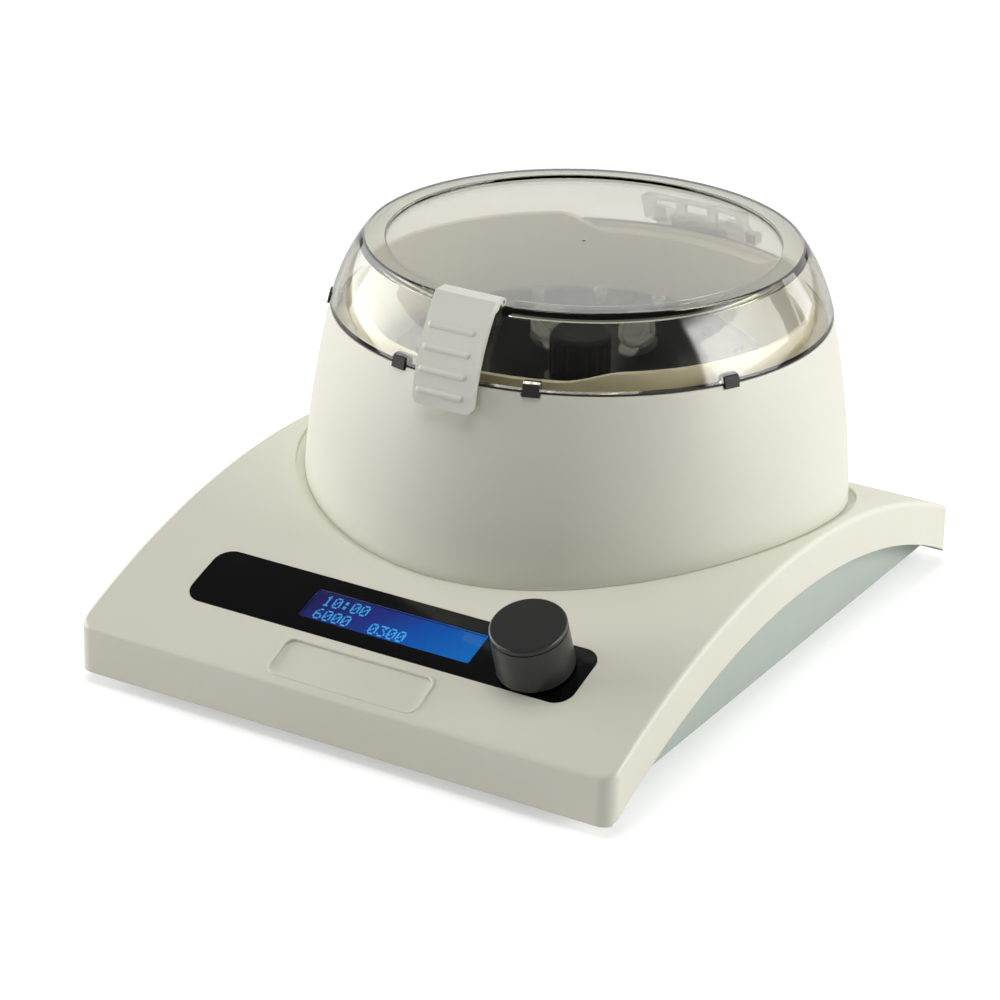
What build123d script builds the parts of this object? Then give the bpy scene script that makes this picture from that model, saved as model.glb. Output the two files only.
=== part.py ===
from build123d import *
import math
import os

# Bench-top centrifuge and vortex mixer.
# Millimetres, +Z up, front of the instrument at -Y.
# The origin is on the table, under the middle of the base.

# Base cover and lower housing
foot_height = 4.0
lip_height = 15.6
crest_height = 43.3
cover_wall = 2.5
weld = 0.4
band_depth = 14.5
corner_radius = 5.0
edge_round = 1.8
housing_recess = 9.0
housing_wall = 2.2
flange_thickness = 2.0
body_gap = 0.3

# Feet and cover screws
foot_radius = 8.0
foot_sink = 0.8
foot_gap = 0.15
foot_side_margin = 31.0
foot_end_margin = 33.5
boss_side_margin = 23.0
boss_end_margin = 19.5
boss_radius = 4.2
boss_split_z = 12.0
screw_radius = 1.5
screw_head_radius = 2.9
screw_head_height = 1.8
screw_head_sink = 0.4
screw_clearance = 0.15
screw_bite = 7.0
thread_gap = 0.03

# Bowl shell and its seat in the cover
bowl_radius = 89.3
bowl_rear_margin = 1.4
bowl_side_margin = 5.7
control_room = 55.0
bowl_straight_z = 25.0
bowl_taper = 8.6
bowl_rim_z = 100.6
bowl_wall = 2.5
seat_margin = 2.5
seat_depth = 1.6
seat_gap = 0.15
seat_inner_margin = 0.8
cover_hole_inset = 13.3
seat_rib = 2.2
cover_boss_drop = 4.0
bowl_post_inset = 8.9
bowl_post_radius = 3.6
bowl_post_height = 16.0
bowl_post_angles = (45.0, 135.0, 225.0, 315.0)

# Bowl liner
liner_inset = 6.7
liner_wall = 2.0
liner_floor = 4.0
liner_floor_z = 45.5
liner_skin = 0.8
liner_rim_z = 98.9
liner_rim_thickness = 1.8
collar_z = 105.5
ledge_gap = 0.05
ledge_height = 2.4
collar_front_half = 29.75
collar_front_step = 17.9
collar_front_z = 102.2
collar_rear_half = 26.2
collar_rear_step = 19.0

# Seal in the seam and the lid
seal_gap = 0.1
seal_thickness = 0.8
seal_inset = 0.3
tab_angles = (18.7, 63.8, 300.2, 345.9)
tab_width = 5.2
tab_rise = 1.9
tab_drop = 0.9
tab_proud = 0.5
tab_gap = 0.25
lid_mid_inset = 4.2
lid_mid_z = 113.0
lid_rim_inset = 10.6
lid_top_z = 123.3
lid_wall = 2.2
lid_plate = 2.2
disc_margin = 7.1
disc_drop = 1.2
lid_edge_round = 1.0
nub_radius = 0.7
nub_height = 0.5

# Hinge
hinge_reach = 4.5
hinge_z = 102.2
hinge_radius = 3.5
hinge_pin_radius = 1.5
hinge_running_gap = 0.08
hinge_press_gap = 0.02
hinge_lug_half = 11.0
hinge_side_gap = 0.5
knuckle_width = 5.5
bracket_width = 39.0
bracket_low_z = 103.2
bracket_high_z = 112.1
bracket_bar = 1.2
bracket_rib = 3.1
bracket_proud = 4.1
bracket_gap = 0.05

# Latch
latch_width = 21.2
latch_thickness = 2.2
latch_axis_inset = 2.7
latch_axis_z = 123.9
latch_roll_radius = 1.4
latch_pin_radius = 0.6
latch_running_gap = 0.06
latch_press_gap = 0.02
latch_shoulder_proud = 2.1
latch_belly_proud = 4.4
latch_belly_z = 110.5
latch_foot_proud = 4.8
latch_foot_z = 92.8
latch_clearance = 0.4
latch_nose_height = 2.4
latch_nose_depth = 0.7
latch_corner = 2.6
rib_radius = 1.15
rib_proud = 0.65
rib_heights = (116.0, 109.8, 103.4, 97.2)
rib_right_margin = 3.2
lug_radius = 0.95
lug_thickness = 2.0
lug_offset = 6.6
lug_gap = 0.3
spring_length = 7.0
spring_turns = 9
spring_wire = 0.32
spring_bore_gap = 0.1
spring_room = 0.55
catch_width = 14.0
catch_height = 2.0
catch_depth = 0.85
catch_drop = 4.0

# Rotor, its shaft and its tubes
rotor_tilt = 35.0
dish_slope = 30.0
place_z = 74.0
place_radius = 5.6
place_straight = 17.0
place_depth = 29.5
place_tip_radius = 2.2
place_count = 8
place_inset = 11.5
small_radius = 2.1
small_straight = 6.0
small_depth = 10.0
small_tip_radius = 1.2
small_tilt = 10.0
small_inset = 4.0
rotor_lip_width = 3.3
rotor_taper = 3.6
rotor_room = 7.6
rotor_low_z = 47.5
hub_radius = 12.5
hub_top_z = 75.8
dish_radius = 16.0
boot_room_radius = 16.0
boot_room_z = 52.0
nut_radius = 10.0
nut_height = 15.0
nut_flutes = 16
nut_flute_radius = 1.3
shaft_radius = 3.0
shaft_low_z = 9.4
shaft_top_z = 86.0
shaft_fit = 0.03
shoulder_radius = 7.0
shoulder_height = 2.2
tube_gap = 0.2
tube_wall = 1.0
tube_proud = 5.0
cap_radius = 6.4
cap_height = 2.2
cap_edge = 1.6
cap_recess = 0.5
cap_ring_radius = 2.2
cap_ring = 0.7
cap_tab = 3.2
cap_tab_width = 7.0
cap_tab_corner = 2.6
cap_tab_thickness = 1.1
small_proud = 4.6
small_wall = 0.6
flare = 0.55
flare_height = 0.9
large_tube_angles = (180.0, 225.0, 0.0, 45.0)
small_tube_angles = (180.0, 202.5, 225.0, 0.0, 22.5, 45.0)

# Motor under the bowl
motor_radius = 25.0
motor_low_z = 8.0
motor_top_z = 36.0
motor_wall = 1.5
bearing_radius = 8.0
bearing_height = 4.0
bearing_bore_gap = 0.05
bearing_seat_gap = 0.02
bearing_inset = 1.0
bearing_lip = 1.5
stator_inner = 14.0
stator_height = 17.0
magnet_gap = 0.6
magnet_height = 15.0
plate_radius = 38.0
plate_thickness = 2.0
isolator_circle = 32.0
isolator_radius = 4.0
isolator_height = 3.5
isolator_angles = (45.0, 135.0, 225.0, 315.0)
plate_hole_gap = 0.3
boot_hole_radius = 8.0
boot_flange_radius = 11.0
boot_flange = 1.0
boot_bore_gap = 0.6
boot_fit = 0.1
boot_rise = 3.0

# Fascia, display and nameplate recess
panel_front_margin = 30.3
fascia_width = 137.0
fascia_height = 24.2
fascia_corner = 6.0
fascia_sink = 1.0
fascia_gap = 0.1
display_x = 1.5
display_width = 61.0
display_height = 12.9
display_corner = 0.8
window_thickness = 0.9
display_cut_margin = 1.2
bezel_width = 71.0
bezel_height = 22.0
bezel_thickness = 4.6
bezel_gap = 0.3
display_board_width = 82.0
display_board_height = 31.0
board_thickness = 1.6
plate_front_margin = 9.3
plate_recess_width = 52.0
plate_recess_height = 13.7
plate_recess_corner = 3.0
plate_recess_depth = 0.8
plate_bead = 1.0
plate_bead_rise = 0.3
display_post_radius = 2.6
display_post_margin = 2.9
display_screw_radius = 1.17
display_screw_head = 1.4
display_screw_head_radius = 2.4
display_screw_bite = 2.4

# Knob and encoder
knob_x = 52.0
knob_drop = 0.3
knob_base_radius = 12.0
knob_top_radius = 11.8
knob_height = 16.1
knob_lift = 0.8
knob_hollow_radius = 9.0
knob_hollow_depth = 5.0
knob_groove_depth = 0.35
knob_groove_width = 0.5
knob_groove_drop = 1.6
knob_round = 0.8
knob_cap = 3.0
encoder_shaft_radius = 3.0
encoder_size = 12.4
encoder_depth = 6.4
encoder_top = 2.75
bushing_radius = 3.6
bushing_rise = 4.0
bushing_gap = 0.08
bushing_hole_gap = 0.2
encoder_nut_radius = 5.6
encoder_nut_height = 2.0
press_travel = 0.5
plunger_radius = 2.7
plunger_thickness = 0.8
plunger_gap = 0.1
plunger_room = 0.3
encoder_wall = 0.8

# Control board
board_width = 120.0
board_depth = 60.0
board_motor_gap = 9.8
board_z = 12.0
board_hole_x = 54.0
board_hole_y = 24.0
standoff_radius = 3.2
board_screw_radius = 1.17
board_screw_head_radius = 2.6
board_parts = (
    (-40, 10, 14, 14, 6), (-16, -8, 12, 12, 1.6), (12, 12, 9, 18, 7),
    (38, -6, 16, 10, 9), (-42, -18, 10, 8, 5), (16, -18, 22, 6, 8))

# Power inlet and switch in the rear wall
port_z = 12.4
port_gap = 0.1
inlet_x = 42.0
inlet_radius = 4.0
inlet_flange_radius = 5.2
inlet_flange = 1.2
inlet_depth = 12.0
inlet_nut_radius = 5.9
inlet_nut_height = 2.2
inlet_bore_radius = 2.85
inlet_bore_depth = 9.5
inlet_pin_radius = 1.0
switch_x = -42.0
switch_bezel_width = 17.0
switch_bezel_height = 10.2
switch_bezel = 1.2
switch_body_width = 14.6
switch_body_height = 8.6
switch_depth = 14.0
rocker_width = 11.4
rocker_height = 6.6
rocker_depth = 3.0
rocker_crown = 3.1
rocker_rest_tilt = 9.0
rocker_gap = 0.3
rocker_side_gap = 0.8
axle_sink = 1.5
axle_radius = 1.0
axle_gap = 0.08

# Lid sensor and magnet
sensor_angle = 168.0
sensor_size = (8.0, 2.2, 11.0)
sensor_z = 83.0
magnet_block = (4.2, 3.4, 3.8)
magnet_gap_x = 0.3
magnet_z = 101.7

# Vent slots under the motor
vent_count = 7
vent_pitch = 6.0
vent_width = 2.6
vent_length = 34.0

# Values worked out from the sizes above
base_width = 2 * (bowl_radius + bowl_side_margin)
base_depth = 2 * bowl_radius + bowl_rear_margin + control_room
foot_x = base_width / 2 - foot_side_margin
foot_y = base_depth / 2 - foot_end_margin
boss_x = base_width / 2 - boss_side_margin
boss_y = base_depth / 2 - boss_end_margin
panel_y = panel_front_margin - base_depth / 2
plate_recess_y = plate_front_margin - base_depth / 2
knob_y = panel_y - knob_drop
bowl_y = base_depth / 2 - bowl_rear_margin - bowl_radius
bowl_top_radius = bowl_radius - bowl_taper
cover_hole_radius = bowl_radius - cover_hole_inset
bowl_post_circle = bowl_radius - bowl_post_inset
liner_radius = bowl_top_radius - liner_inset
lid_mid_radius = bowl_top_radius - lid_mid_inset
lid_rim_radius = bowl_top_radius - lid_rim_inset
disc_radius = lid_rim_radius - disc_margin
hinge_y = bowl_y + bowl_top_radius + hinge_reach
latch_axis_y = bowl_y - lid_rim_radius + latch_axis_inset
latch_shoulder_y = bowl_y - lid_rim_radius - latch_shoulder_proud
latch_belly_y = bowl_y - lid_mid_radius - latch_belly_proud
latch_foot_y = bowl_y - bowl_top_radius - latch_foot_proud
rotor_foot_radius = liner_radius - liner_wall - rotor_room
rotor_rim_radius = rotor_foot_radius - rotor_taper
rotor_lip_radius = rotor_rim_radius - rotor_lip_width
outer_circle = rotor_lip_radius - small_inset
place_circle = outer_circle - place_inset
board_y = bowl_y - motor_radius - board_motor_gap - board_depth / 2
magnet_x = bracket_width / 2 + magnet_gap_x + magnet_block[0] / 2
arch_rise = crest_height - lip_height
arch_radius = (arch_rise**2 + (base_depth / 2) ** 2) / (2 * arch_rise)
arch_centre_z = foot_height + crest_height - arch_radius
inner_half_width = base_width / 2 - cover_wall
inner_half_depth = base_depth / 2 - cover_wall
housing_half_width = base_width / 2 - housing_recess
floor_top_z = foot_height + housing_wall
bowl_drop = bowl_radius - bowl_top_radius
bowl_climb = bowl_rim_z - bowl_straight_z
bowl_arc_radius = (bowl_drop**2 + bowl_climb**2) / (2 * bowl_drop)
seat_radius = bowl_radius + seat_margin
seat_inner_radius = bowl_radius - bowl_wall - seat_inner_margin
lid_low_z = bowl_rim_z + seal_gap + seal_thickness
plate_top_z = liner_floor_z - liner_floor - isolator_height
PLAN_LOW = (Align.CENTER, Align.CENTER, Align.MIN)
FAR = 300.0
REACH = 8.0


def arch_z(y, inset=0.0):
    """Height of the arch at y, or of the arc that lies inset below it."""
    return arch_centre_z + math.sqrt((arch_radius - inset) ** 2 - y**2)


def bowl_outer(z):
    """Outer radius of the bowl shell at height z."""
    if z <= bowl_straight_z:
        return bowl_radius
    climb = z - bowl_straight_z
    return bowl_radius - bowl_arc_radius + math.sqrt(bowl_arc_radius**2 - climb**2)


def circle_through(first, middle, last):
    """Centre and radius of the circle through three points."""
    (ax, ay), (bx, by), (cx, cy) = first, middle, last
    twice = 2 * (ax * (by - cy) + bx * (cy - ay) + cx * (ay - by))
    a2 = ax**2 + ay**2
    b2 = bx**2 + by**2
    c2 = cx**2 + cy**2
    x = (a2 * (by - cy) + b2 * (cy - ay) + c2 * (ay - by)) / twice
    y = (a2 * (cx - bx) + b2 * (ax - cx) + c2 * (bx - ax)) / twice
    return (x, y), math.hypot(ax - x, ay - y)


lid_centre, lid_arc_radius = circle_through(
    (bowl_top_radius, lid_low_z), (lid_mid_radius, lid_mid_z), (lid_rim_radius, lid_top_z)
)


def lid_outer(z, inset=0.0):
    """Outer radius of the lid's skirt at height z, less an inset normal to it."""
    return lid_centre[0] + math.sqrt((lid_arc_radius - inset) ** 2 - (z - lid_centre[1]) ** 2)


def under_arch(inset, half_width, half_depth, floor):
    """Solid below an arc of the arch family, down to a flat floor."""
    low = (half_depth, floor)
    high = (half_depth, arch_z(half_depth, inset))
    crown = (0, arch_z(0, inset))
    left_high = (-high[0], high[1])
    left_low = (-low[0], floor)
    outline = Polyline(left_high, left_low, low, high) + ThreePointArc(high, crown, left_high)
    return extrude(Plane.YZ * make_face(outline), half_width, both=True)


def lathe(*edges):
    """Turn a profile of (radius, z) edges about the bowl's axis."""
    profile = Plane.XZ * make_face(Curve() + list(edges))
    return Pos(0, bowl_y, 0) * revolve(profile, Axis.Z, 360)


def tube_ring(outer, inner, low, high):
    """Plain ring about the bowl's axis."""
    return lathe(Polyline((inner, low), (outer, low), (outer, high), (inner, high), close=True))


def disc(radius, low, high):
    """Plain disc about the bowl's axis."""
    return Pos(0, bowl_y, low) * Cylinder(radius, high - low, align=PLAN_LOW)


def radial_plane(angle, radius, z, tilt=0.0):
    """Plane at an angle from the front, whose normal leans inward by tilt."""
    turn = math.radians(angle)
    lean = math.radians(tilt)
    out = Vector(math.sin(turn), -math.cos(turn), 0)
    normal = out * -math.sin(lean) + Vector(0, 0, math.cos(lean))
    origin = Vector(0, bowl_y, z) + out * radius
    return Plane(origin, x_dir=(math.cos(turn), math.sin(turn), 0), z_dir=normal)


def slope_plane(x, y, lift=0.0):
    """Plane tangent to the arch at y, lifted along the arch's normal."""
    normal = Vector(0, y / arch_radius, math.sqrt(1 - (y / arch_radius) ** 2))
    origin = Vector(x, y, arch_z(y)) + normal * lift
    return Plane(origin, x_dir=(1, 0, 0), z_dir=normal)


def slope_prism(x, y, width, height, corner, low, high):
    """Rounded block standing on the slope, between two lifts along its normal."""
    sketch = slope_plane(x, y, low) * RectangleRounded(width, height, corner)
    return extrude(sketch, high - low)


def slope_pin(x, y, radius, low, high):
    """Round pin standing on the slope, between two lifts along its normal."""
    return slope_plane(x, y, low) * Cylinder(radius, high - low, align=PLAN_LOW)


def shell_layer(low_inset, high_inset):
    """Layer that follows the arch, between two insets below it."""
    outer = under_arch(high_inset, base_width, base_depth / 2 + 1, -FAR)
    return outer - under_arch(low_inset, base_width + 1, base_depth / 2 + 2, -FAR)


def screw(x, y, head_z, tip_z, head_radius=screw_head_radius, radius=screw_radius):
    """Pan-head screw on a vertical axis, whose head's seat is at head_z."""
    way = 1 if tip_z > head_z else -1
    shank = Pos(x, y, (head_z + tip_z) / 2) * Cylinder(radius, abs(tip_z - head_z))
    head_mid = head_z - way * screw_head_height / 2
    head = Pos(x, y, head_mid) * Cylinder(head_radius, screw_head_height)
    head = fillet(head.edges().filter_by(GeomType.CIRCLE).sort_by(Axis.Z)[0 if way > 0 else -1], 0.6)
    slot = Pos(x, y, head_z - way * screw_head_height) * Box(head_radius * 1.3, 0.7, 1.6)
    return shank + head - slot


def corners(x, y):
    """The four points at plus and minus x and y."""
    return [(sx * x, sy * y) for sx in (-1, 1) for sy in (-1, 1)]


def bowl_post_points():
    """Plan positions of the screws that hold the bowl to the cover."""
    return [radial_plane(angle, bowl_post_circle, 0).origin for angle in bowl_post_angles]


def seat_cut(clearance):
    """What the cover fills up to, under the bowl, grown by a clearance."""
    low = under_arch(seat_depth - clearance, base_width, base_depth / 2 + 20, -FAR)
    inner = under_arch(-clearance, base_width, base_depth / 2 + 20, -FAR)
    return low + (inner & disc(seat_inner_radius, -10, 80))


def make_top_cover():
    """Arched cover: skin, side bands, seat for the bowl, fascia and nameplate recesses."""
    cover = under_arch(0, base_width / 2, base_depth / 2, foot_height)
    cover = fillet(cover.edges().filter_by(Axis.Z), corner_radius)
    skin = cover.faces().filter_by(GeomType.CYLINDER).sort_by(SortBy.AREA)[-1]
    cover = fillet(skin.edges(), edge_round)
    cavity = under_arch(cover_wall, inner_half_width, inner_half_depth, foot_height - 1)
    cavity = fillet(cavity.edges().filter_by(Axis.Z), corner_radius - cover_wall)
    cover -= cavity
    cover -= under_arch(band_depth, base_width, inner_half_depth, foot_height - 1)

    rib_layer = shell_layer(cover_wall + seat_rib, cover_wall - weld)
    rib = rib_layer & disc(seat_radius + seat_rib, 0, 60)
    rib &= Pos(0, 0, 30) * Box(2 * inner_half_width + weld, 2 * inner_half_depth + weld, 60)
    cover += rib
    for point in bowl_post_points():
        boss_low = arch_z(point.Y) - cover_wall - seat_rib - cover_boss_drop
        boss = Pos(point.X, point.Y, boss_low) * Cylinder(bowl_post_radius, 30, align=PLAN_LOW)
        cover += boss & under_arch(cover_wall - weld, base_width, base_depth / 2, 0)
    for x, y in corners(boss_x, boss_y):
        boss = Pos(x, y, boss_split_z) * Cylinder(boss_radius, 40, align=PLAN_LOW)
        cover += boss & under_arch(cover_wall - weld, base_width, base_depth / 2, 0)

    cover -= disc(cover_hole_radius, 0, 80)
    groove = disc(seat_radius, 0, 80) - disc(seat_inner_radius, -1, 81)
    cover -= groove - under_arch(seat_depth, base_width, base_depth, -FAR)

    fascia_hole = slope_prism(
        0, panel_y, fascia_width, fascia_height, fascia_corner, -REACH, REACH)
    cover -= fascia_hole & (Pos(0, 0, 40) * Box(base_width, base_depth, 80) - under_arch(
        fascia_sink, base_width, base_depth / 2, -FAR))
    cover += plate_rim()
    plate_hole = slope_prism(
        0, plate_recess_y, plate_recess_width, plate_recess_height, plate_recess_corner, -REACH, REACH)
    cover -= plate_hole - under_arch(plate_recess_depth, base_width, base_depth / 2, -FAR)
    margin = 2 * display_cut_margin
    cover -= slope_prism(
        display_x, panel_y, display_width + margin, display_height + margin, display_corner, -REACH, REACH)
    cover -= slope_pin(knob_x, knob_y, bushing_radius + bushing_hole_gap, -REACH, REACH)
    for point in display_post_points():
        post = slope_plane_at(point, -bezel_low()) * Cylinder(
            display_post_radius, bezel_low() - cover_wall + weld, align=PLAN_LOW)
        hole = slope_plane_at(point, -bezel_low()) * Cylinder(
            display_screw_radius + thread_gap, bezel_low() - cover_wall - weld, align=PLAN_LOW)
        cover = cover + post - hole

    for x, y in corners(boss_x, boss_y):
        pilot = screw_radius + screw_clearance
        cover -= Pos(x, y, boss_split_z - 1) * Cylinder(pilot, screw_bite + 2, align=PLAN_LOW)
    for point in bowl_post_points():
        pilot = screw_radius + screw_clearance
        cover -= Pos(point.X, point.Y, 0) * Cylinder(pilot, 60, align=PLAN_LOW)

    rear = Plane((0, base_depth / 2, port_z), x_dir=(1, 0, 0), z_dir=(0, 1, 0))
    inlet_hole = Circle(inlet_radius + port_gap)
    cover -= extrude(rear * Pos(inlet_x, 0) * inlet_hole, REACH, both=True)
    switch_hole = Rectangle(switch_body_width + 2 * port_gap, switch_body_height + 2 * port_gap)
    cover -= extrude(rear * Pos(switch_x, 0) * switch_hole, REACH, both=True)
    return cover


def plate_rim():
    """Soft raised bead around the nameplate recess."""
    rim = slope_prism(
        0, plate_recess_y, plate_recess_width + 2 * plate_bead, plate_recess_height + 2 * plate_bead,
        plate_recess_corner + plate_bead, -REACH, REACH)
    rim -= slope_prism(
        0, plate_recess_y, plate_recess_width, plate_recess_height, plate_recess_corner, -REACH, REACH)
    rim &= shell_layer(plate_recess_depth, -plate_bead_rise)
    curved = rim.faces().filter_by(GeomType.CYLINDER).sort_by(SortBy.AREA)[-2:]
    crown = curved.sort_by(Axis.Z)[-1]
    return fillet(crown.edges(), plate_bead_rise - 0.02)


def bezel_low():
    """Depth of the display board's upper face below the arch."""
    return cover_wall + bezel_gap + bezel_thickness


def display_post_points():
    """Slope positions of the display's four screws, as x and distance up the slope."""
    half_w = display_board_width / 2 - display_post_margin
    half_h = display_board_height / 2 - display_post_margin
    return [(display_x + sx * half_w, sy * half_h) for sx in (-1, 1) for sy in (-1, 1)]


def slope_plane_at(point, lift):
    """Plane of the display's slope, moved to a point on it."""
    base = slope_plane(0, panel_y, lift)
    origin = base.origin + base.x_dir * point[0] + base.y_dir * point[1]
    return Plane(origin, x_dir=base.x_dir, z_dir=base.z_dir)


def make_lower_housing():
    """Tub under the arch: side walls, floor, flange inside the cover's bands, posts and vents."""
    half_depth = inner_half_depth - body_gap
    inner = housing_half_width - housing_wall
    tub = under_arch(band_depth, housing_half_width, half_depth, foot_height)
    tub -= Pos(0, 0, floor_top_z) * Box(2 * inner, 3 * base_depth, 80, align=PLAN_LOW)
    flange = under_arch(band_depth - flange_thickness, inner_half_width - body_gap, half_depth - 3, 0)
    flange -= under_arch(band_depth, base_width, base_depth / 2, -5)
    flange -= Box(2 * inner, 3 * base_depth, FAR)
    tub += flange
    for x, y in corners(boss_x, boss_y):
        tall = boss_split_z - foot_height - 0.1
        tub += Pos(x, y, foot_height) * Cylinder(boss_radius, tall, align=PLAN_LOW)
    for x, y in corners(board_hole_x, board_hole_y):
        tub += Pos(x, board_y + y, foot_height) * Cylinder(
            standoff_radius, board_z - foot_height, align=PLAN_LOW)
    for x, y in corners(boss_x, boss_y):
        tub -= Pos(x, y, 0) * Cylinder(screw_radius + screw_clearance, 30, align=PLAN_LOW)
        seat = foot_height + screw_head_height + screw_head_sink
        tub -= Pos(x, y, 0) * Cylinder(
            screw_head_radius + 2 * screw_clearance, seat, align=PLAN_LOW)
    for x, y in corners(board_hole_x, board_hole_y):
        tub -= Pos(x, board_y + y, floor_top_z) * Cylinder(
            board_screw_radius + thread_gap, board_z, align=PLAN_LOW)
    for x, y in corners(foot_x, foot_y):
        tub -= Pos(x, y, foot_height - 1) * Cylinder(
            foot_radius + foot_gap, 1 + foot_sink, align=PLAN_LOW)
    for index in range(vent_count):
        x = (index - (vent_count - 1) / 2) * vent_pitch
        slot = Pos(x, bowl_y, 0) * Rot(0, 0, 90) * SlotOverall(vent_length, vent_width)
        tub -= extrude(slot, 20)
    return tub


def make_feet():
    """Four rubber feet, stuck into recesses of the floor."""
    feet = []
    for x, y in corners(foot_x, foot_y):
        foot = Pos(x, y, 0) * Cylinder(foot_radius, foot_height + foot_sink, align=PLAN_LOW)
        feet.append(chamfer(foot.edges().sort_by(Axis.Z)[0], 0.8))
    return feet


def make_base_screws():
    """Screws from below, through the tub's posts into the cover's."""
    seat = foot_height + screw_head_height + screw_head_sink
    return [screw(x, y, seat, boss_split_z + screw_bite) for x, y in corners(boss_x, boss_y)]


def make_bowl_shell():
    """Outer wall of the bowl, with its posts, rim notches, latch catch and hinge lug."""
    low = arch_z(bowl_y + bowl_radius) - 6
    mid_z = (bowl_straight_z + bowl_rim_z) / 2
    top = (bowl_top_radius, bowl_rim_z)
    outer = [
        Line((0, low), (bowl_radius, low)),
        Line((bowl_radius, low), (bowl_radius, bowl_straight_z)),
        ThreePointArc((bowl_radius, bowl_straight_z), (bowl_outer(mid_z), mid_z), top),
        Line(top, (0, bowl_rim_z)),
        Line((0, bowl_rim_z), (0, low)),
    ]
    solid = lathe(*outer)
    hollow_top = (bowl_top_radius - bowl_wall, bowl_rim_z + 1)
    straight = bowl_radius - bowl_wall
    inner = [
        Line((0, low - 1), (straight, low - 1)),
        Line((straight, low - 1), (straight, bowl_straight_z)),
        ThreePointArc((straight, bowl_straight_z), (bowl_outer(mid_z) - bowl_wall, mid_z), hollow_top),
        Line(hollow_top, (0, bowl_rim_z + 1)),
        Line((0, bowl_rim_z + 1), (0, low - 1)),
    ]
    hollow = lathe(*inner)
    lug_face = make_face(Polyline(
        (hinge_y - 6, hinge_z - 18), (hinge_y - 0.5, hinge_z - 18),
        (hinge_y + hinge_radius, hinge_z - 6), (hinge_y + hinge_radius, hinge_z),
        (hinge_y - hinge_radius, hinge_z), (hinge_y - hinge_radius, hinge_z - 3.5),
        (hinge_y - 6, hinge_z - 3.5), close=True))
    lug_face += Pos(hinge_y, hinge_z) * Circle(hinge_radius)
    lug = extrude(Plane.YZ * lug_face, hinge_lug_half, both=True)
    catch_top = bowl_rim_z - catch_drop + catch_height
    catch_y = bowl_y - bowl_outer(catch_top) - catch_depth
    catch = Pos(0, catch_y, catch_top) * Box(
        catch_width, 4, catch_height, align=(Align.CENTER, Align.MIN, Align.MAX))
    catch = chamfer(catch.edges().filter_by(Axis.X).sort_by(Axis.Y)[:2].sort_by(Axis.Z)[-1:], 0.6)
    shell = solid + lug + catch - hollow
    ledge_z = liner_rim_z - liner_rim_thickness - ledge_gap
    ledge = tube_ring(bowl_outer(ledge_z) - 0.6, liner_radius + 1.2, ledge_z - ledge_height, ledge_z)
    shell += ledge
    for angle in bowl_post_angles:
        post_plane = radial_plane(angle, bowl_post_circle, 0)
        post = Pos(post_plane.origin) * Cylinder(bowl_post_radius, 80, align=PLAN_LOW)
        reach = radial_plane(angle, bowl_post_circle + 3.5, 0)
        post += reach * Box(2.4, 7.4, 80, align=PLAN_LOW)
        top_z = arch_z(post_plane.origin.Y) + bowl_post_height
        post -= Pos(0, bowl_y, top_z) * Box(FAR, FAR, FAR, align=PLAN_LOW)
        pilot = Pos(post_plane.origin) * Cylinder(screw_radius + thread_gap, top_z - 3, align=PLAN_LOW)
        shell += (post & hollow) - pilot
    shell -= seat_cut(seat_gap)
    for angle in tab_angles:
        notch = radial_plane(angle, bowl_top_radius, bowl_rim_z - tab_drop - tab_gap)
        shell -= notch * Box(tab_width + 2 * tab_gap + 0.4, 4 * bowl_wall, 4, align=PLAN_LOW)
    pin_way = Plane.YZ * Pos(hinge_y, hinge_z) * Circle(hinge_pin_radius + hinge_press_gap)
    return shell - extrude(pin_way, hinge_lug_half + 1, both=True)


def make_bowl_screws():
    """Screws from under the cover into the bowl's posts."""
    screws = []
    for point in bowl_post_points():
        seat = arch_z(point.Y) - cover_wall - seat_rib - cover_boss_drop
        screws.append(screw(point.X, point.Y, seat, arch_z(point.Y) + screw_bite))
    return screws


def collar_cutter(half, step, low_z, sign):
    """Prism whose S-shaped sides take the liner's collar down at the front or the back."""
    top = collar_z + 1
    mid_z = (collar_z + low_z) / 2
    middle = half + step / 2
    end = half + step
    right = Spline((half, low_z), (middle, mid_z), (end, collar_z), tangents=((1, 0), (1, 0)))
    left = Spline((-end, collar_z), (-middle, mid_z), (-half, low_z), tangents=((1, 0), (1, 0)))
    cap = Polyline(right @ 1, (end, top), (-end, top), left @ 0)
    face = make_face(Curve() + [right, cap, left, Line(left @ 1, right @ 0)])
    plane = Plane((0, bowl_y, 0), x_dir=(-sign, 0, 0), z_dir=(0, sign, 0))
    return extrude(plane * face, liner_radius + 20)


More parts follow.
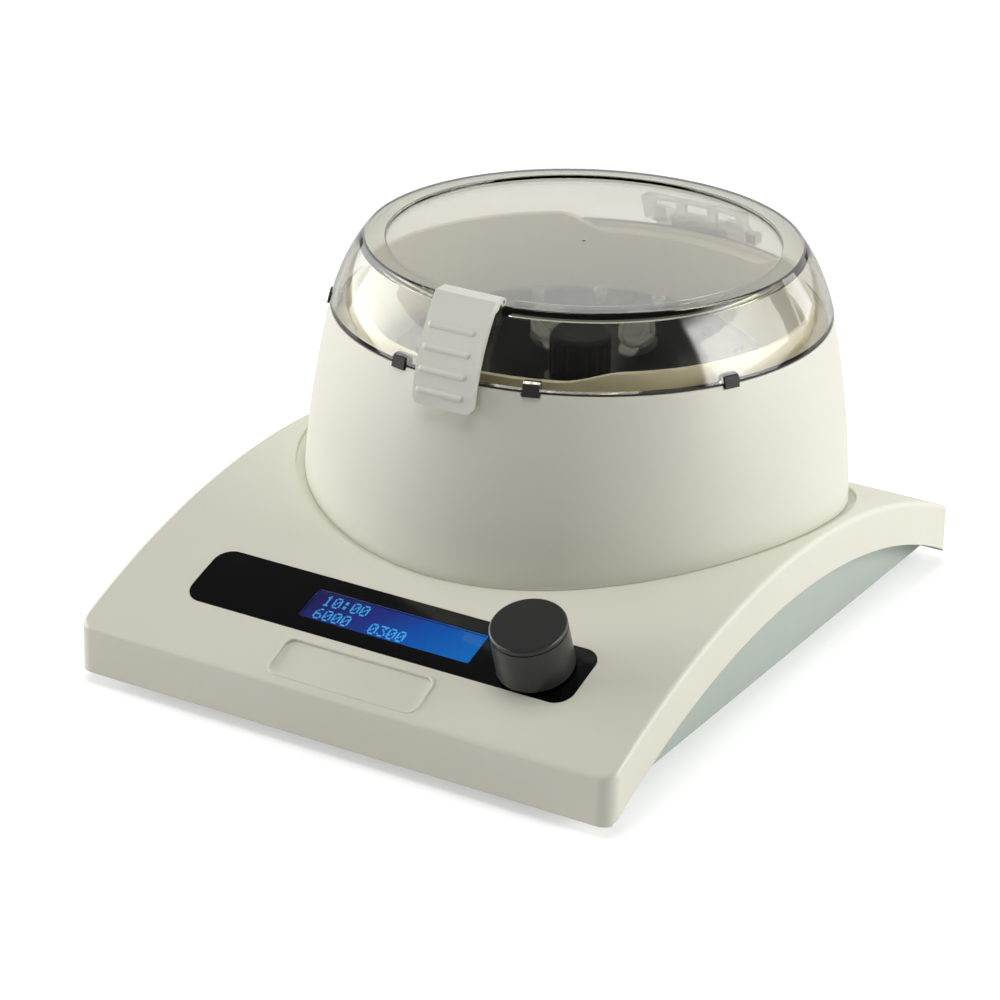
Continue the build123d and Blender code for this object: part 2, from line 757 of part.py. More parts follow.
def make_bowl_liner():
    """Inner bowl: floor, wall, rim flange on the shell's ledge, and the collar inside the lid."""
    inside = liner_radius - liner_wall
    low = liner_floor_z - liner_floor
    flange = bowl_outer(liner_rim_z) - bowl_wall - 0.2
    wall = lathe(Polyline(
        (boot_hole_radius + boot_fit, low), (liner_radius, low),
        (liner_radius, liner_rim_z - liner_rim_thickness),
        (flange, liner_rim_z - liner_rim_thickness), (flange, liner_rim_z),
        (liner_radius, liner_rim_z), (liner_radius, collar_z),
        (inside, collar_z), (inside, liner_floor_z), (boot_hole_radius + boot_fit, liner_floor_z),
        close=True))
    bottom_edge = wall.edges().filter_by(GeomType.CIRCLE).filter_by(
        lambda e: abs(e.radius - inside) < 0.01 and abs(e.arc_center.Z - liner_floor_z) < 0.01)
    wall = fillet(bottom_edge, 5.0)
    rim_edges = wall.edges().filter_by(GeomType.CIRCLE).filter_by(
        lambda e: abs(e.arc_center.Z - collar_z) < 0.01)
    wall = fillet(rim_edges, 0.6)
    wall -= collar_cutter(collar_front_half, collar_front_step, collar_front_z, -1)
    wall -= collar_cutter(collar_rear_half, collar_rear_step, liner_rim_z, 1)
    for angle in isolator_angles:
        spot = radial_plane(angle, isolator_circle, 0).origin
        wall -= Pos(spot.X, spot.Y, 0) * Cylinder(
            screw_radius + thread_gap, liner_floor_z - liner_skin, align=PLAN_LOW)
    return wall


def make_shaft_boot():
    """Rubber boot that keeps spills out of the hole around the shaft."""
    bore = shaft_radius + boot_bore_gap
    low = liner_floor_z - liner_floor
    return lathe(Polyline(
        (bore, low), (boot_hole_radius, low), (boot_hole_radius, liner_floor_z + ledge_gap),
        (boot_flange_radius, liner_floor_z + ledge_gap),
        (boot_flange_radius, liner_floor_z + ledge_gap + boot_flange),
        (bore + 1.5, liner_floor_z + boot_rise), (bore, liner_floor_z + boot_rise), close=True))


def make_motor_plate():
    """Round steel plate that carries the motor."""
    plate = disc(plate_radius, plate_top_z - plate_thickness, plate_top_z)
    plate -= disc(bearing_radius + 2, 0, 60)
    for angle in isolator_angles:
        spot = radial_plane(angle, isolator_circle, 0).origin
        plate -= Pos(spot.X, spot.Y, 0) * Cylinder(
            screw_radius + plate_hole_gap, 60, align=PLAN_LOW)
    return plate


def make_isolators():
    """Rubber rings between the motor plate and the floor of the bowl."""
    rings = []
    for angle in isolator_angles:
        spot = radial_plane(angle, isolator_circle, 0).origin
        tall = liner_floor_z - liner_floor - plate_top_z
        ring = Pos(spot.X, spot.Y, plate_top_z) * Cylinder(isolator_radius, tall, align=PLAN_LOW)
        ring -= Pos(spot.X, spot.Y, 0) * Cylinder(
            screw_radius + screw_clearance, 90, align=PLAN_LOW)
        rings.append(ring)
    return rings


def make_motor_screws():
    """Screws through the motor plate and isolators into the bowl's floor."""
    screws = []
    for angle in isolator_angles:
        spot = radial_plane(angle, isolator_circle, 0).origin
        screws.append(screw(spot.X, spot.Y, plate_top_z - plate_thickness,
                            liner_floor_z - liner_skin - 0.4))
    return screws


def make_motor_can():
    """Closed motor housing with a bearing seat in each end."""
    inside = motor_radius - motor_wall
    seat = bearing_radius + bearing_seat_gap
    shoulder = bearing_radius - bearing_lip
    low, top = motor_low_z, motor_top_z
    mouth = bearing_height + bearing_inset
    can = disc(motor_radius, low, top) - disc(inside, low + mouth, top - mouth)
    can -= disc(seat, low + bearing_inset, low + mouth + 1)
    can -= disc(seat, top - mouth - 1, top - bearing_inset)
    can -= disc(shoulder, low - 1, top + 1)
    hollow = tube_ring(inside, seat + motor_wall, low + motor_wall, top - motor_wall)
    return can - hollow


def make_stator():
    """Wound stator ring inside the motor can."""
    mid = (motor_low_z + motor_top_z) / 2
    half = stator_height / 2
    outer = motor_radius - motor_wall - 0.05
    return tube_ring(outer, stator_inner, mid - half, mid + half)


def make_bearings():
    """Two ball bearings, drawn as closed rings."""
    bore = shaft_radius + bearing_bore_gap
    rings = []
    for low in (motor_low_z + bearing_inset, motor_top_z - bearing_inset - bearing_height):
        rings.append(tube_ring(bearing_radius, bore, low, low + bearing_height))
    return rings


def make_magnet_rotor():
    """Magnet ring pressed on the shaft inside the stator."""
    mid = (motor_low_z + motor_top_z) / 2
    half = magnet_height / 2
    return tube_ring(stator_inner - magnet_gap, shaft_radius + shaft_fit, mid - half, mid + half)


def make_drive_shaft():
    """Shaft from the motor up through the bowl, with the shoulder that the rotor rests on."""
    shaft = disc(shaft_radius, shaft_low_z, shaft_top_z)
    shaft = chamfer(shaft.edges().sort_by(Axis.Z)[-1], 0.5)
    return shaft + disc(shoulder_radius, boot_room_z - shoulder_height, boot_room_z - 0.02)


def dish_height(radius):
    """Height of the rotor's dish at a radius."""
    return place_z + (radius - place_circle) * math.tan(math.radians(dish_slope))


def place_plane(angle, circle, tilt):
    """Mouth plane of a tube place on the rotor's dish."""
    return radial_plane(angle, circle, dish_height(circle), tilt)


def place_solid(radius, straight, depth, tip, lead=30.0):
    """Pocket for a tube, with its mouth at the origin: straight, then tapered to a tip."""
    profile = Polyline(
        (0, lead), (radius, lead), (radius, -straight), (tip, -depth), (0, -depth), close=True)
    return revolve(Plane.XZ * make_face(profile), Axis.Z, 360)


def ring(count):
    """Angles of a ring of places."""
    return [index * 360.0 / count for index in range(count)]


def make_rotor():
    """Angled rotor: a dish with two rings of tube places around a hub."""
    lip_z = dish_height(rotor_lip_radius)
    dish_z = dish_height(dish_radius)
    hub_foot_z = dish_z + 1.0
    body = lathe(Polyline(
        (shaft_radius + shaft_fit, boot_room_z), (boot_room_radius, boot_room_z),
        (boot_room_radius, rotor_low_z), (rotor_foot_radius - 2.5, rotor_low_z),
        (rotor_foot_radius, rotor_low_z + 4), (rotor_rim_radius + 0.6, lip_z - 1.4),
        (rotor_rim_radius - 0.8, lip_z), (rotor_lip_radius, lip_z),
        (dish_radius, dish_z), (hub_radius, hub_foot_z), (hub_radius, hub_top_z - 1),
        (hub_radius - 1, hub_top_z), (shaft_radius + shaft_fit, hub_top_z), close=True))
    large = place_solid(place_radius, place_straight, place_depth, place_tip_radius)
    small = place_solid(small_radius, small_straight, small_depth, small_tip_radius)
    cuts = [place_plane(angle, place_circle, rotor_tilt) * large for angle in ring(place_count)]
    cuts += [place_plane(angle, outer_circle, small_tilt) * small for angle in ring(2 * place_count)]
    return body - cuts


def make_rotor_nut():
    """Hand nut that holds the rotor on its shaft."""
    low = hub_top_z + 0.02
    nut = disc(nut_radius, low, low + nut_height)
    nut = fillet(nut.edges().sort_by(Axis.Z)[-1], 1.6)
    nut = chamfer(nut.edges().filter_by(GeomType.CIRCLE).sort_by(Axis.Z)[0], 0.8)
    for index in range(nut_flutes):
        angle = index * 360.0 / nut_flutes
        flute = radial_plane(angle, nut_radius + 0.75, low + 2.0)
        nut -= flute * Cylinder(nut_flute_radius, nut_height - 5.0, align=PLAN_LOW)
    return nut - disc(shaft_radius + shaft_fit, 0, shaft_top_z + 0.5)


def tube_body(radius, straight, depth, tip, proud, wall, mouth):
    """Tube whose place's mouth is at the origin, with the given points above its wall's top."""
    outline = Polyline(
        (0, -depth), (tip, -depth), (radius, -straight), (radius, proud), *mouth,
        (radius - wall, proud), (radius - wall, -straight), (0, -depth + wall), close=True)
    return revolve(Plane.XZ * make_face(outline), Axis.Z, 360)


def make_large_tubes():
    """Capped tubes in the large places, with a ringed cap and a thumb tab."""
    low, top = tube_proud, tube_proud + cap_height
    floor = top - cap_recess
    recess = cap_radius - cap_edge
    mouth = [
        (cap_radius, low), (cap_radius, top - 0.5), (cap_radius - 0.5, top), (recess, top),
        (recess - 0.2, floor), (cap_ring_radius, floor), (cap_ring_radius, top),
        (cap_ring_radius - cap_ring, top), (cap_ring_radius - cap_ring, floor), (0, floor), (0, low)]
    tube = tube_body(
        place_radius - tube_gap, place_straight - 0.3, place_depth - 0.35,
        place_tip_radius - tube_gap, tube_proud, tube_wall, mouth)
    reach = cap_radius + cap_tab
    tab = RectangleRounded(cap_tab_width, reach - cap_ring_radius, cap_tab_corner)
    tube += extrude(Pos(0, (reach + cap_ring_radius) / 2, low) * tab, cap_tab_thickness)
    return [place_plane(angle, place_circle, rotor_tilt) * tube for angle in large_tube_angles]


def make_small_tubes():
    """Open tubes with a flared mouth, in the small places outside the large ones."""
    radius = small_radius - tube_gap
    rim = radius + flare
    step = small_proud - flare_height
    mouth = [(radius, step), (rim, step), (rim, small_proud)]
    tube = tube_body(
        radius, small_straight - 0.3, small_depth - 0.35, small_tip_radius - tube_gap,
        step - 0.3, small_wall, mouth + [(radius - small_wall, small_proud)])
    return [place_plane(angle, outer_circle, small_tilt) * tube for angle in small_tube_angles]


def lid_envelope(grow):
    """The lid's outer form as one closed solid, grown by a clearance."""
    low = (lid_outer(lid_low_z - 3, -grow), lid_low_z - 3)
    high = (lid_outer(lid_top_z, -grow), lid_top_z)
    mid = (lid_outer(lid_mid_z, -grow), lid_mid_z)
    top_z = lid_top_z + grow
    return lathe(
        Line((0, low[1]), low), ThreePointArc(low, mid, high),
        Polyline(high, (high[0], top_z), (0, top_z), (0, low[1])))


def make_lid():
    """Clear lid: skirt, rim, recessed disc, tab notches, latch lugs and the moulding nub."""
    inner_top = lid_top_z - disc_drop - lid_plate
    low_out = (lid_outer(lid_low_z), lid_low_z)
    high_out = (lid_outer(lid_top_z), lid_top_z)
    mid_out = (lid_outer(lid_mid_z), lid_mid_z)
    low_in = (lid_outer(lid_low_z, lid_wall), lid_low_z)
    high_in = (lid_outer(inner_top, lid_wall), inner_top)
    mid_in = (lid_outer(lid_mid_z, lid_wall), lid_mid_z)
    lid = lathe(
        ThreePointArc(low_out, mid_out, high_out),
        Polyline(high_out, (disc_radius, lid_top_z), (disc_radius, lid_top_z - disc_drop),
                 (0, lid_top_z - disc_drop), (0, inner_top), high_in),
        ThreePointArc(high_in, mid_in, low_in), Line(low_in, low_out))
    rim = lid.edges().filter_by(GeomType.CIRCLE).filter_by(
        lambda e: abs(e.radius - high_out[0]) < 0.01 and abs(e.arc_center.Z - lid_top_z) < 0.01)
    lid = fillet(rim, lid_edge_round)
    step = lid.edges().filter_by(GeomType.CIRCLE).filter_by(
        lambda e: abs(e.radius - disc_radius) < 0.01 and abs(e.arc_center.Z - lid_top_z) < 0.01)
    lid = fillet(step, lid_edge_round / 2)
    nub_z = lid_top_z - disc_drop
    lid += disc(nub_radius, nub_z - 0.5, nub_z + nub_height)
    for angle in tab_angles:
        notch = radial_plane(angle, bowl_top_radius, lid_low_z - 1)
        lid -= notch * Box(tab_width + 0.2, 5 * lid_wall, tab_rise + 1.1, align=PLAN_LOW)
    room_low = lid_top_z - disc_drop
    room = Pos(0, latch_axis_y, room_low) * Box(
        latch_width + 1.2, 2 * latch_roll_radius + 1.2, 6, align=PLAN_LOW)
    bridge = Pos(0, latch_axis_y, room_low) * Box(
        latch_width + 1.2, 8, 6, align=(Align.CENTER, Align.MIN, Align.MIN))
    lid = lid - room - bridge
    for side in (-1, 1):
        face = Pos(latch_axis_y, latch_axis_z) * Circle(lug_radius)
        face += Pos(latch_axis_y, (latch_axis_z + room_low) / 2 - 0.25) * Rectangle(
            2 * lug_radius, latch_axis_z - room_low + 0.5)
        lug = extrude(Plane.YZ * face, lug_thickness / 2, both=True)
        lid += Pos(side * lug_offset, 0, 0) * lug
    pin_way = Plane.YZ * Pos(latch_axis_y, latch_axis_z) * Circle(latch_pin_radius + latch_press_gap)
    return lid - extrude(pin_way, latch_width, both=True)


def make_rim_seal():
    """Dark seal on the skirt's lower edge, with tabs that clip over it."""
    low = bowl_rim_z + seal_gap
    top = lid_low_z - 0.02
    outer = bowl_top_radius - seal_inset
    seal = tube_ring(outer, bowl_top_radius - lid_wall, low, top)
    for angle in tab_angles:
        plane = radial_plane(angle, bowl_top_radius, bowl_rim_z - tab_drop)
        tall = lid_low_z + tab_rise - bowl_rim_z + tab_drop
        depth = 3 * lid_wall
        tab = plane * Pos(0, lid_wall / 2, 0) * Box(tab_width, depth, tall, align=PLAN_LOW)
        seal += tab & lid_envelope(tab_proud)
    return seal


def make_hinge_bracket():
    """Ladder-shaped bracket on the back of the skirt, with the two hinge knuckles."""
    half = bracket_width / 2
    back_y = bowl_y + lid_mid_radius + bracket_proud
    front_y = back_y - 12
    frame = Pos(0, (front_y + back_y) / 2, (bracket_low_z + bracket_high_z) / 2) * Box(
        bracket_width, back_y - front_y, bracket_high_z - bracket_low_z)
    bays = 3
    bay = (bracket_width - (bays + 1) * bracket_rib) / bays
    for index in range(bays):
        x = -half + bracket_rib + bay / 2 + index * (bay + bracket_rib)
        tall = bracket_high_z - bracket_low_z - 2 * bracket_bar
        frame -= Pos(x, back_y, (bracket_low_z + bracket_high_z) / 2) * Box(bay, 40, tall)
    for side in (-1, 1):
        centre_x = side * (hinge_lug_half + hinge_side_gap + knuckle_width / 2)
        face = Pos(hinge_y, hinge_z) * Circle(hinge_radius)
        face += make_face(Polyline(
            (front_y, bracket_low_z), (hinge_y - hinge_radius, hinge_z),
            (hinge_y, hinge_z), (hinge_y + 1.5, hinge_z + 3.1),
            (back_y, bracket_low_z + 5), (front_y, bracket_low_z + 5), close=True))
        knuckle = extrude(Plane.YZ * face, knuckle_width / 2, both=True)
        frame += Pos(centre_x, 0, 0) * knuckle
    pin_way = Plane.YZ * Pos(hinge_y, hinge_z) * Circle(hinge_pin_radius + hinge_running_gap)
    frame -= extrude(pin_way, bracket_width, both=True)
    return frame - lid_envelope(bracket_gap)


def make_hinge_pin():
    """Steel pin through the bowl's lug and the lid's knuckles."""
    half = hinge_lug_half + hinge_side_gap + knuckle_width
    return extrude(Plane.YZ * Pos(hinge_y, hinge_z) * Circle(hinge_pin_radius), half, both=True)


def make_lid_magnet():
    """Magnet block at the lower corner of the hinge bracket."""
    sx, sy, sz = magnet_block
    radius = lid_outer(magnet_z + sz) + sy / 2 + 1.2
    reach_y = bowl_y + math.sqrt(radius**2 - magnet_x**2)
    return (Pos(magnet_x, reach_y, magnet_z) * Box(sx, sy + 2, sz, align=PLAN_LOW)) - lid_envelope(
        bracket_gap)


def make_lid_sensor():
    """Magnetic sensor between the liner and the shell, under the magnet."""
    sx, sy, sz = sensor_size
    plane = radial_plane(sensor_angle, liner_radius + 0.3 + sy / 2, sensor_z)
    return plane * Box(sx, sy, sz, align=PLAN_LOW)


def latch_outline(offset):
    """Closed side profile of the latch's strap, from its roll to its foot."""
    shoulder = (latch_shoulder_y, latch_axis_z + latch_roll_radius)
    belly = (latch_belly_y, latch_belly_z)
    foot = (latch_foot_y, latch_foot_z)
    (cy, cz), radius = circle_through(
        (shoulder[0] - 0.9, shoulder[1] - 0.9), belly, foot)
    inner_radius = radius - offset

    def inner_point(z):
        return (cy - math.sqrt(inner_radius**2 - (z - cz) ** 2), z)

    start = (shoulder[0] - 0.9, shoulder[1] - 0.9)
    inner_top = latch_axis_z - latch_roll_radius + 1.1
    return [
        Line((latch_axis_y, latch_axis_z + latch_roll_radius), shoulder),
        Line(shoulder, start),
        ThreePointArc(start, belly, foot),
        Line(foot, inner_point(latch_foot_z)),
        ThreePointArc(
            inner_point(latch_foot_z), inner_point(latch_belly_z), inner_point(inner_top - 2)),
        Polyline(inner_point(inner_top - 2), (latch_axis_y, inner_top - 0.6),
                 (latch_axis_y, latch_axis_z + latch_roll_radius)),
    ], (cy, cz), radius


def make_latch():
    """Front latch: a strap hooked over the rim, with a roll at its pin, ribs and a nose."""
    edges, (cy, cz), radius = latch_outline(latch_thickness)
    strap_face = make_face(Curve() + edges)
    strap_face += Pos(latch_axis_y, latch_axis_z) * Circle(latch_roll_radius)
    strap = extrude(Plane.YZ * strap_face, latch_width / 2, both=True)
    strap -= lid_envelope(latch_clearance)
    roll = Plane.YZ * Pos(latch_axis_y, latch_axis_z) * Circle(latch_roll_radius)
    strap += extrude(roll, latch_width / 2, both=True)
    tall = latch_axis_z + 10 - latch_foot_z
    front = Plane((0, 0, latch_foot_z + tall / 2), x_dir=(1, 0, 0), z_dir=(0, -1, 0))
    outline = front * RectangleRounded(latch_width, tall, latch_corner)
    strap &= extrude(outline, base_depth)
    inner = radius - latch_thickness
    nose_z = latch_foot_z + 1.2
    nose_y = cy - math.sqrt(inner**2 - (nose_z - cz) ** 2)
    nose = Pos(0, nose_y - 0.8, nose_z) * Box(
        catch_width - 2, 0.8 + latch_nose_depth, latch_nose_height,
        align=(Align.CENTER, Align.MIN, Align.MIN))
    strap += nose
    left = -latch_width / 2 + 1.0
    right = latch_width / 2 - rib_right_margin
    for z in rib_heights:
        sink = rib_radius - rib_proud
        y = cy - math.sqrt((radius - sink) ** 2 - (z - cz) ** 2)
        bar = Cylinder(rib_radius, right - left)
        bar = fillet(bar.edges().filter_by(GeomType.CIRCLE), rib_radius * 0.95)
        strap += Pos((left + right) / 2, y, z) * Rot(0, 90, 0) * bar
    for side in (-1, 1):
        width = lug_thickness + 2 * lug_gap
        gap = lug_radius + lug_gap
        face = Pos(latch_axis_y, latch_axis_z) * Circle(gap)
        face += Pos(latch_axis_y - gap, latch_axis_z) * Rectangle(
            gap + 4, 6, align=(Align.MIN, Align.MAX))
        slot = extrude(Plane.YZ * face, width / 2, both=True)
        strap -= Pos(side * lug_offset, 0, 0) * slot
    pin_way = Plane.YZ * Pos(latch_axis_y, latch_axis_z) * Circle(
        latch_pin_radius + latch_running_gap)
    strap -= extrude(pin_way, latch_width, both=True)
    room = Plane.YZ * Pos(latch_axis_y, latch_axis_z) * Circle(latch_pin_radius + spring_room)
    return strap - extrude(room, spring_length / 2 + 0.2, both=True)


def make_latch_pin():
    """Thin pin through the lid's two lugs."""
    return extrude(Plane.YZ * Pos(latch_axis_y, latch_axis_z) * Circle(latch_pin_radius),
                   latch_width / 2 - 0.3, both=True)


def make_latch_spring():
    """Closing spring around the latch pin, its turns drawn as touching rings."""
    inner = latch_pin_radius + spring_bore_gap
    pitch = spring_length / spring_turns
    points = [(inner, -spring_length / 2)]
    for turn in range(spring_turns):
        start = -spring_length / 2 + turn * pitch
        points.append((inner + 0.15, start))
        points.append((inner + 0.15 + spring_wire / 2, start + pitch / 2))
    points.append((inner + 0.15, spring_length / 2))
    points.append((inner, spring_length / 2))
    coil = revolve(Plane.XZ * make_face(Polyline(*points, close=True)), Axis.Z, 360)
    return Pos(0, latch_axis_y, latch_axis_z) * Rot(0, 90, 0) * coil


def make_fascia_panel():
    """Gloss panel let into the slope, with the display's window and the knob's hole."""
    gap = 2 * fascia_gap
    panel = slope_prism(
        0, panel_y, fascia_width - gap, fascia_height - gap, fascia_corner - fascia_gap, -REACH, REACH)
    panel &= shell_layer(fascia_sink, 0.0)
    panel -= slope_prism(
        display_x, panel_y, display_width, display_height, display_corner, -REACH, REACH)
    return panel - slope_pin(knob_x, knob_y, bushing_radius + bushing_hole_gap, -REACH, REACH)


def make_display_window():
    """Clear window in the fascia's opening."""
    gap = 2 * fascia_gap
    window = slope_prism(
        display_x, panel_y, display_width - gap, display_height - gap, display_corner - fascia_gap,
        -REACH, REACH)
    return window & shell_layer(window_thickness + 0.1, 0.1)


def make_display_module():
    """Character display: raised glass in the cover's opening, over its metal bezel."""
    low = -bezel_low()
    top = -cover_wall - bezel_gap
    bezel = slope_prism(display_x, panel_y, bezel_width, bezel_height, 1.0, low, top)
    margin = 2 * display_cut_margin - 0.6
    glass = slope_prism(
        display_x, panel_y, display_width + margin, display_height + margin, 0.5, low + 1,
        -fascia_sink - 0.35)
    return bezel + glass


def make_display_board():
    """Circuit board behind the display."""
    low = -bezel_low() - board_thickness
    board = slope_prism(
        display_x, panel_y, display_board_width, display_board_height, 1.0, low, -bezel_low() - 0.02)
    for point in display_post_points():
        board -= slope_plane_at(point, low - 1) * Cylinder(
            screw_radius, board_thickness + 3, align=PLAN_LOW)
    return board


def make_display_screws():
    """Screws that hold the display board to the cover's posts."""
    screws = []
    low = -bezel_low() - board_thickness - 0.02
    for point in display_post_points():
        head = slope_plane_at(point, low - display_screw_head) * Cylinder(
            display_screw_head_radius, display_screw_head, align=PLAN_LOW)
        shank = slope_plane_at(point, low) * Cylinder(
            display_screw_radius, board_thickness + display_screw_bite, align=PLAN_LOW)
        screws.append(head + shank)
    return screws


def make_encoder_body():
    """Rotary encoder: square body under the cover and a bushing up through it."""
    low = -encoder_top - encoder_depth
    body = slope_prism(knob_x, knob_y, encoder_size, encoder_size, 0.6, low, -encoder_top)
    body += slope_pin(knob_x, knob_y, bushing_radius, -encoder_top - 0.5, bushing_rise)
    body -= slope_pin(knob_x, knob_y, encoder_shaft_radius + bushing_gap, -encoder_top - 1.5, 9)
    return body - slope_pin(
        knob_x, knob_y, encoder_shaft_radius + 0.4, low + encoder_wall, -encoder_top - 1.4)


def make_encoder_nut():
    """Hex nut on the encoder's bushing, inside the knob."""
    hexagon = slope_plane(knob_x, knob_y, 0.15) * RegularPolygon(encoder_nut_radius, 6)
    nut = extrude(hexagon, encoder_nut_height)
    return nut - slope_pin(knob_x, knob_y, bushing_radius + 0.02, -1, 9)


def encoder_shaft_low():
    """Lift of the encoder shaft's inner end."""
    floor = -encoder_top - encoder_depth + encoder_wall
    return floor + press_travel + plunger_room + plunger_thickness + plunger_gap


def make_encoder_plunger():
    """Push contact under the encoder's shaft."""
    top = encoder_shaft_low() - plunger_gap
    return slope_pin(knob_x, knob_y, plunger_radius, top - plunger_thickness, top)


def make_encoder_shaft():
    """Shaft of the encoder, which turns and is pushed with the knob."""
    top = knob_lift + knob_height - knob_cap
    shaft = slope_pin(knob_x, knob_y, encoder_shaft_radius, encoder_shaft_low(), top)
    flat = slope_plane(knob_x, knob_y, bushing_rise + 1.5)
    cut = flat * Pos(0, encoder_shaft_radius - 0.8, 0) * Box(
        10, 4, 30, align=(Align.CENTER, Align.MIN, Align.MIN))
    return shaft - cut


def make_control_knob():
    """Knob: slightly tapered, with a fine groove below its top edge."""
    top = knob_lift + knob_height
    groove_top = top - knob_groove_drop
    groove_low = groove_top - knob_groove_width
    profile = Polyline(
        (0, knob_lift), (knob_base_radius, knob_lift), (knob_top_radius, groove_low),
        (knob_top_radius - knob_groove_depth, groove_low),
        (knob_top_radius - knob_groove_depth, groove_top), (knob_top_radius, groove_top),
        (knob_top_radius, top), (0, top), close=True)
    knob = revolve(Plane.XZ * make_face(profile), Axis.Z, 360)
    knob = fillet(knob.edges().filter_by(GeomType.CIRCLE).sort_by(Axis.Z)[-1], knob_round)
    knob -= Pos(0, 0, knob_lift) * Cylinder(knob_hollow_radius, knob_hollow_depth, align=PLAN_LOW)
    bore_top = top - knob_cap + plunger_gap
    bore = Pos(0, 0, knob_lift) * Cylinder(
        encoder_shaft_radius + 0.02, bore_top - knob_lift, align=PLAN_LOW)
    key = Pos(0, encoder_shaft_radius - 0.75, bushing_rise + 2.2) * Box(
        10, 4, 30, align=(Align.CENTER, Align.MIN, Align.MIN))
    return slope_plane(knob_x, knob_y) * (knob - (bore - key))


def make_control_board():
    """Main circuit board on the tub's four standoffs, with its larger components."""
    board = Pos(0, board_y, board_z) * Box(board_width, board_depth, board_thickness, align=PLAN_LOW)
    top = board_z + board_thickness
    for x, y, sx, sy, sz in board_parts:
        board += Pos(x, board_y + y, top) * Box(sx, sy, sz, align=PLAN_LOW)
    for x, y in corners(board_hole_x, board_hole_y):
        board -= Pos(x, board_y + y, 0) * Cylinder(screw_radius + 0.1, 40, align=PLAN_LOW)
    return board


def make_board_screws():
    """Screws that hold the control board to its standoffs."""
    top = board_z + board_thickness
    return [screw(x, board_y + y, top, floor_top_z + 1.0, board_screw_head_radius, board_screw_radius)
            for x, y in corners(board_hole_x, board_hole_y)]


def rear_plane(x, lift=0.0):
    """Plane on the rear wall, facing back."""
    return Plane((x, base_depth / 2 + lift, port_z), x_dir=(-1, 0, 0), z_dir=(0, 1, 0))


def rear_block(x, width, height, low, high, corner=0.5):
    """Rounded block in the rear wall, between two distances from its outer face."""
    return extrude(rear_plane(x, low) * RectangleRounded(width, height, corner), high - low)


def rear_pin(x, radius, low, high):
    """Round pin in the rear wall, between two distances from its outer face."""
    return rear_plane(x, low) * Cylinder(radius, high - low, align=PLAN_LOW)


def make_power_inlet():
    """Low-voltage barrel inlet: flange outside the wall, threaded body through it, centre contact."""
    inlet = rear_pin(inlet_x, inlet_radius, -inlet_depth, 0.1)
    inlet += rear_pin(inlet_x, inlet_flange_radius, 0.0, inlet_flange)
    inlet -= rear_pin(inlet_x, inlet_bore_radius, -inlet_bore_depth, inlet_flange + 1)
    return inlet + rear_pin(inlet_x, inlet_pin_radius, -inlet_bore_depth - 0.5, -1.5)


def make_inlet_nut():
    """Hex nut that holds the inlet from inside."""
    hexagon = rear_plane(inlet_x, -cover_wall - 0.02) * RegularPolygon(inlet_nut_radius, 6)
    nut = extrude(hexagon, -inlet_nut_height)
    return nut - rear_pin(inlet_x, inlet_radius + 0.02, -20, 5)


def make_switch_body():
    """Rocker switch housing: bezel outside the wall, body inside, cavity for the rocker."""
    body = rear_block(switch_x, switch_body_width, switch_body_height, -switch_depth, 0.1)
    bezel = rear_block(switch_x, switch_bezel_width, switch_bezel_height, 0.0, switch_bezel, 1.2)
    cavity = rear_block(
        switch_x, rocker_width + 2 * rocker_side_gap, rocker_height + 2 * rocker_gap,
        -axle_sink - rocker_depth - 1.5, 5, 0.3)
    axle_way = Pos(switch_x, base_depth / 2 - axle_sink, port_z) * Cylinder(
        axle_radius + axle_gap, rocker_height + 2 * rocker_gap + 1.0)
    return body + bezel - cavity - axle_way


def make_power_rocker():
    """Rocker of the power switch, resting on its OFF side."""
    half = rocker_width / 2
    face = make_face(Polyline(
        (-half, rocker_crown), (0, rocker_crown - 1.1), (half, rocker_crown),
        (half - 0.6, -rocker_depth), (0, -rocker_depth - 1.0), (-half + 0.6, -rocker_depth),
        close=True))
    rocker = extrude(face, rocker_height / 2, both=True)
    rocker = fillet(rocker.edges().filter_by(Axis.Z).sort_by(Axis.Y)[-3:], 0.5)
    rocker += Cylinder(axle_radius, rocker_height + 2 * rocker_gap + 0.7)
    place = Pos(switch_x, base_depth / 2 - axle_sink, port_z)
    return place * Rot(0, 0, -rocker_rest_tilt) * rocker


def write(name, shape):
    """Write one node's solids to its own file."""
    node = Compound(children=list(shape)) if isinstance(shape, (list, tuple)) else shape
    node.label = name
    export_step(node, os.path.join("parts", name + ".step"))


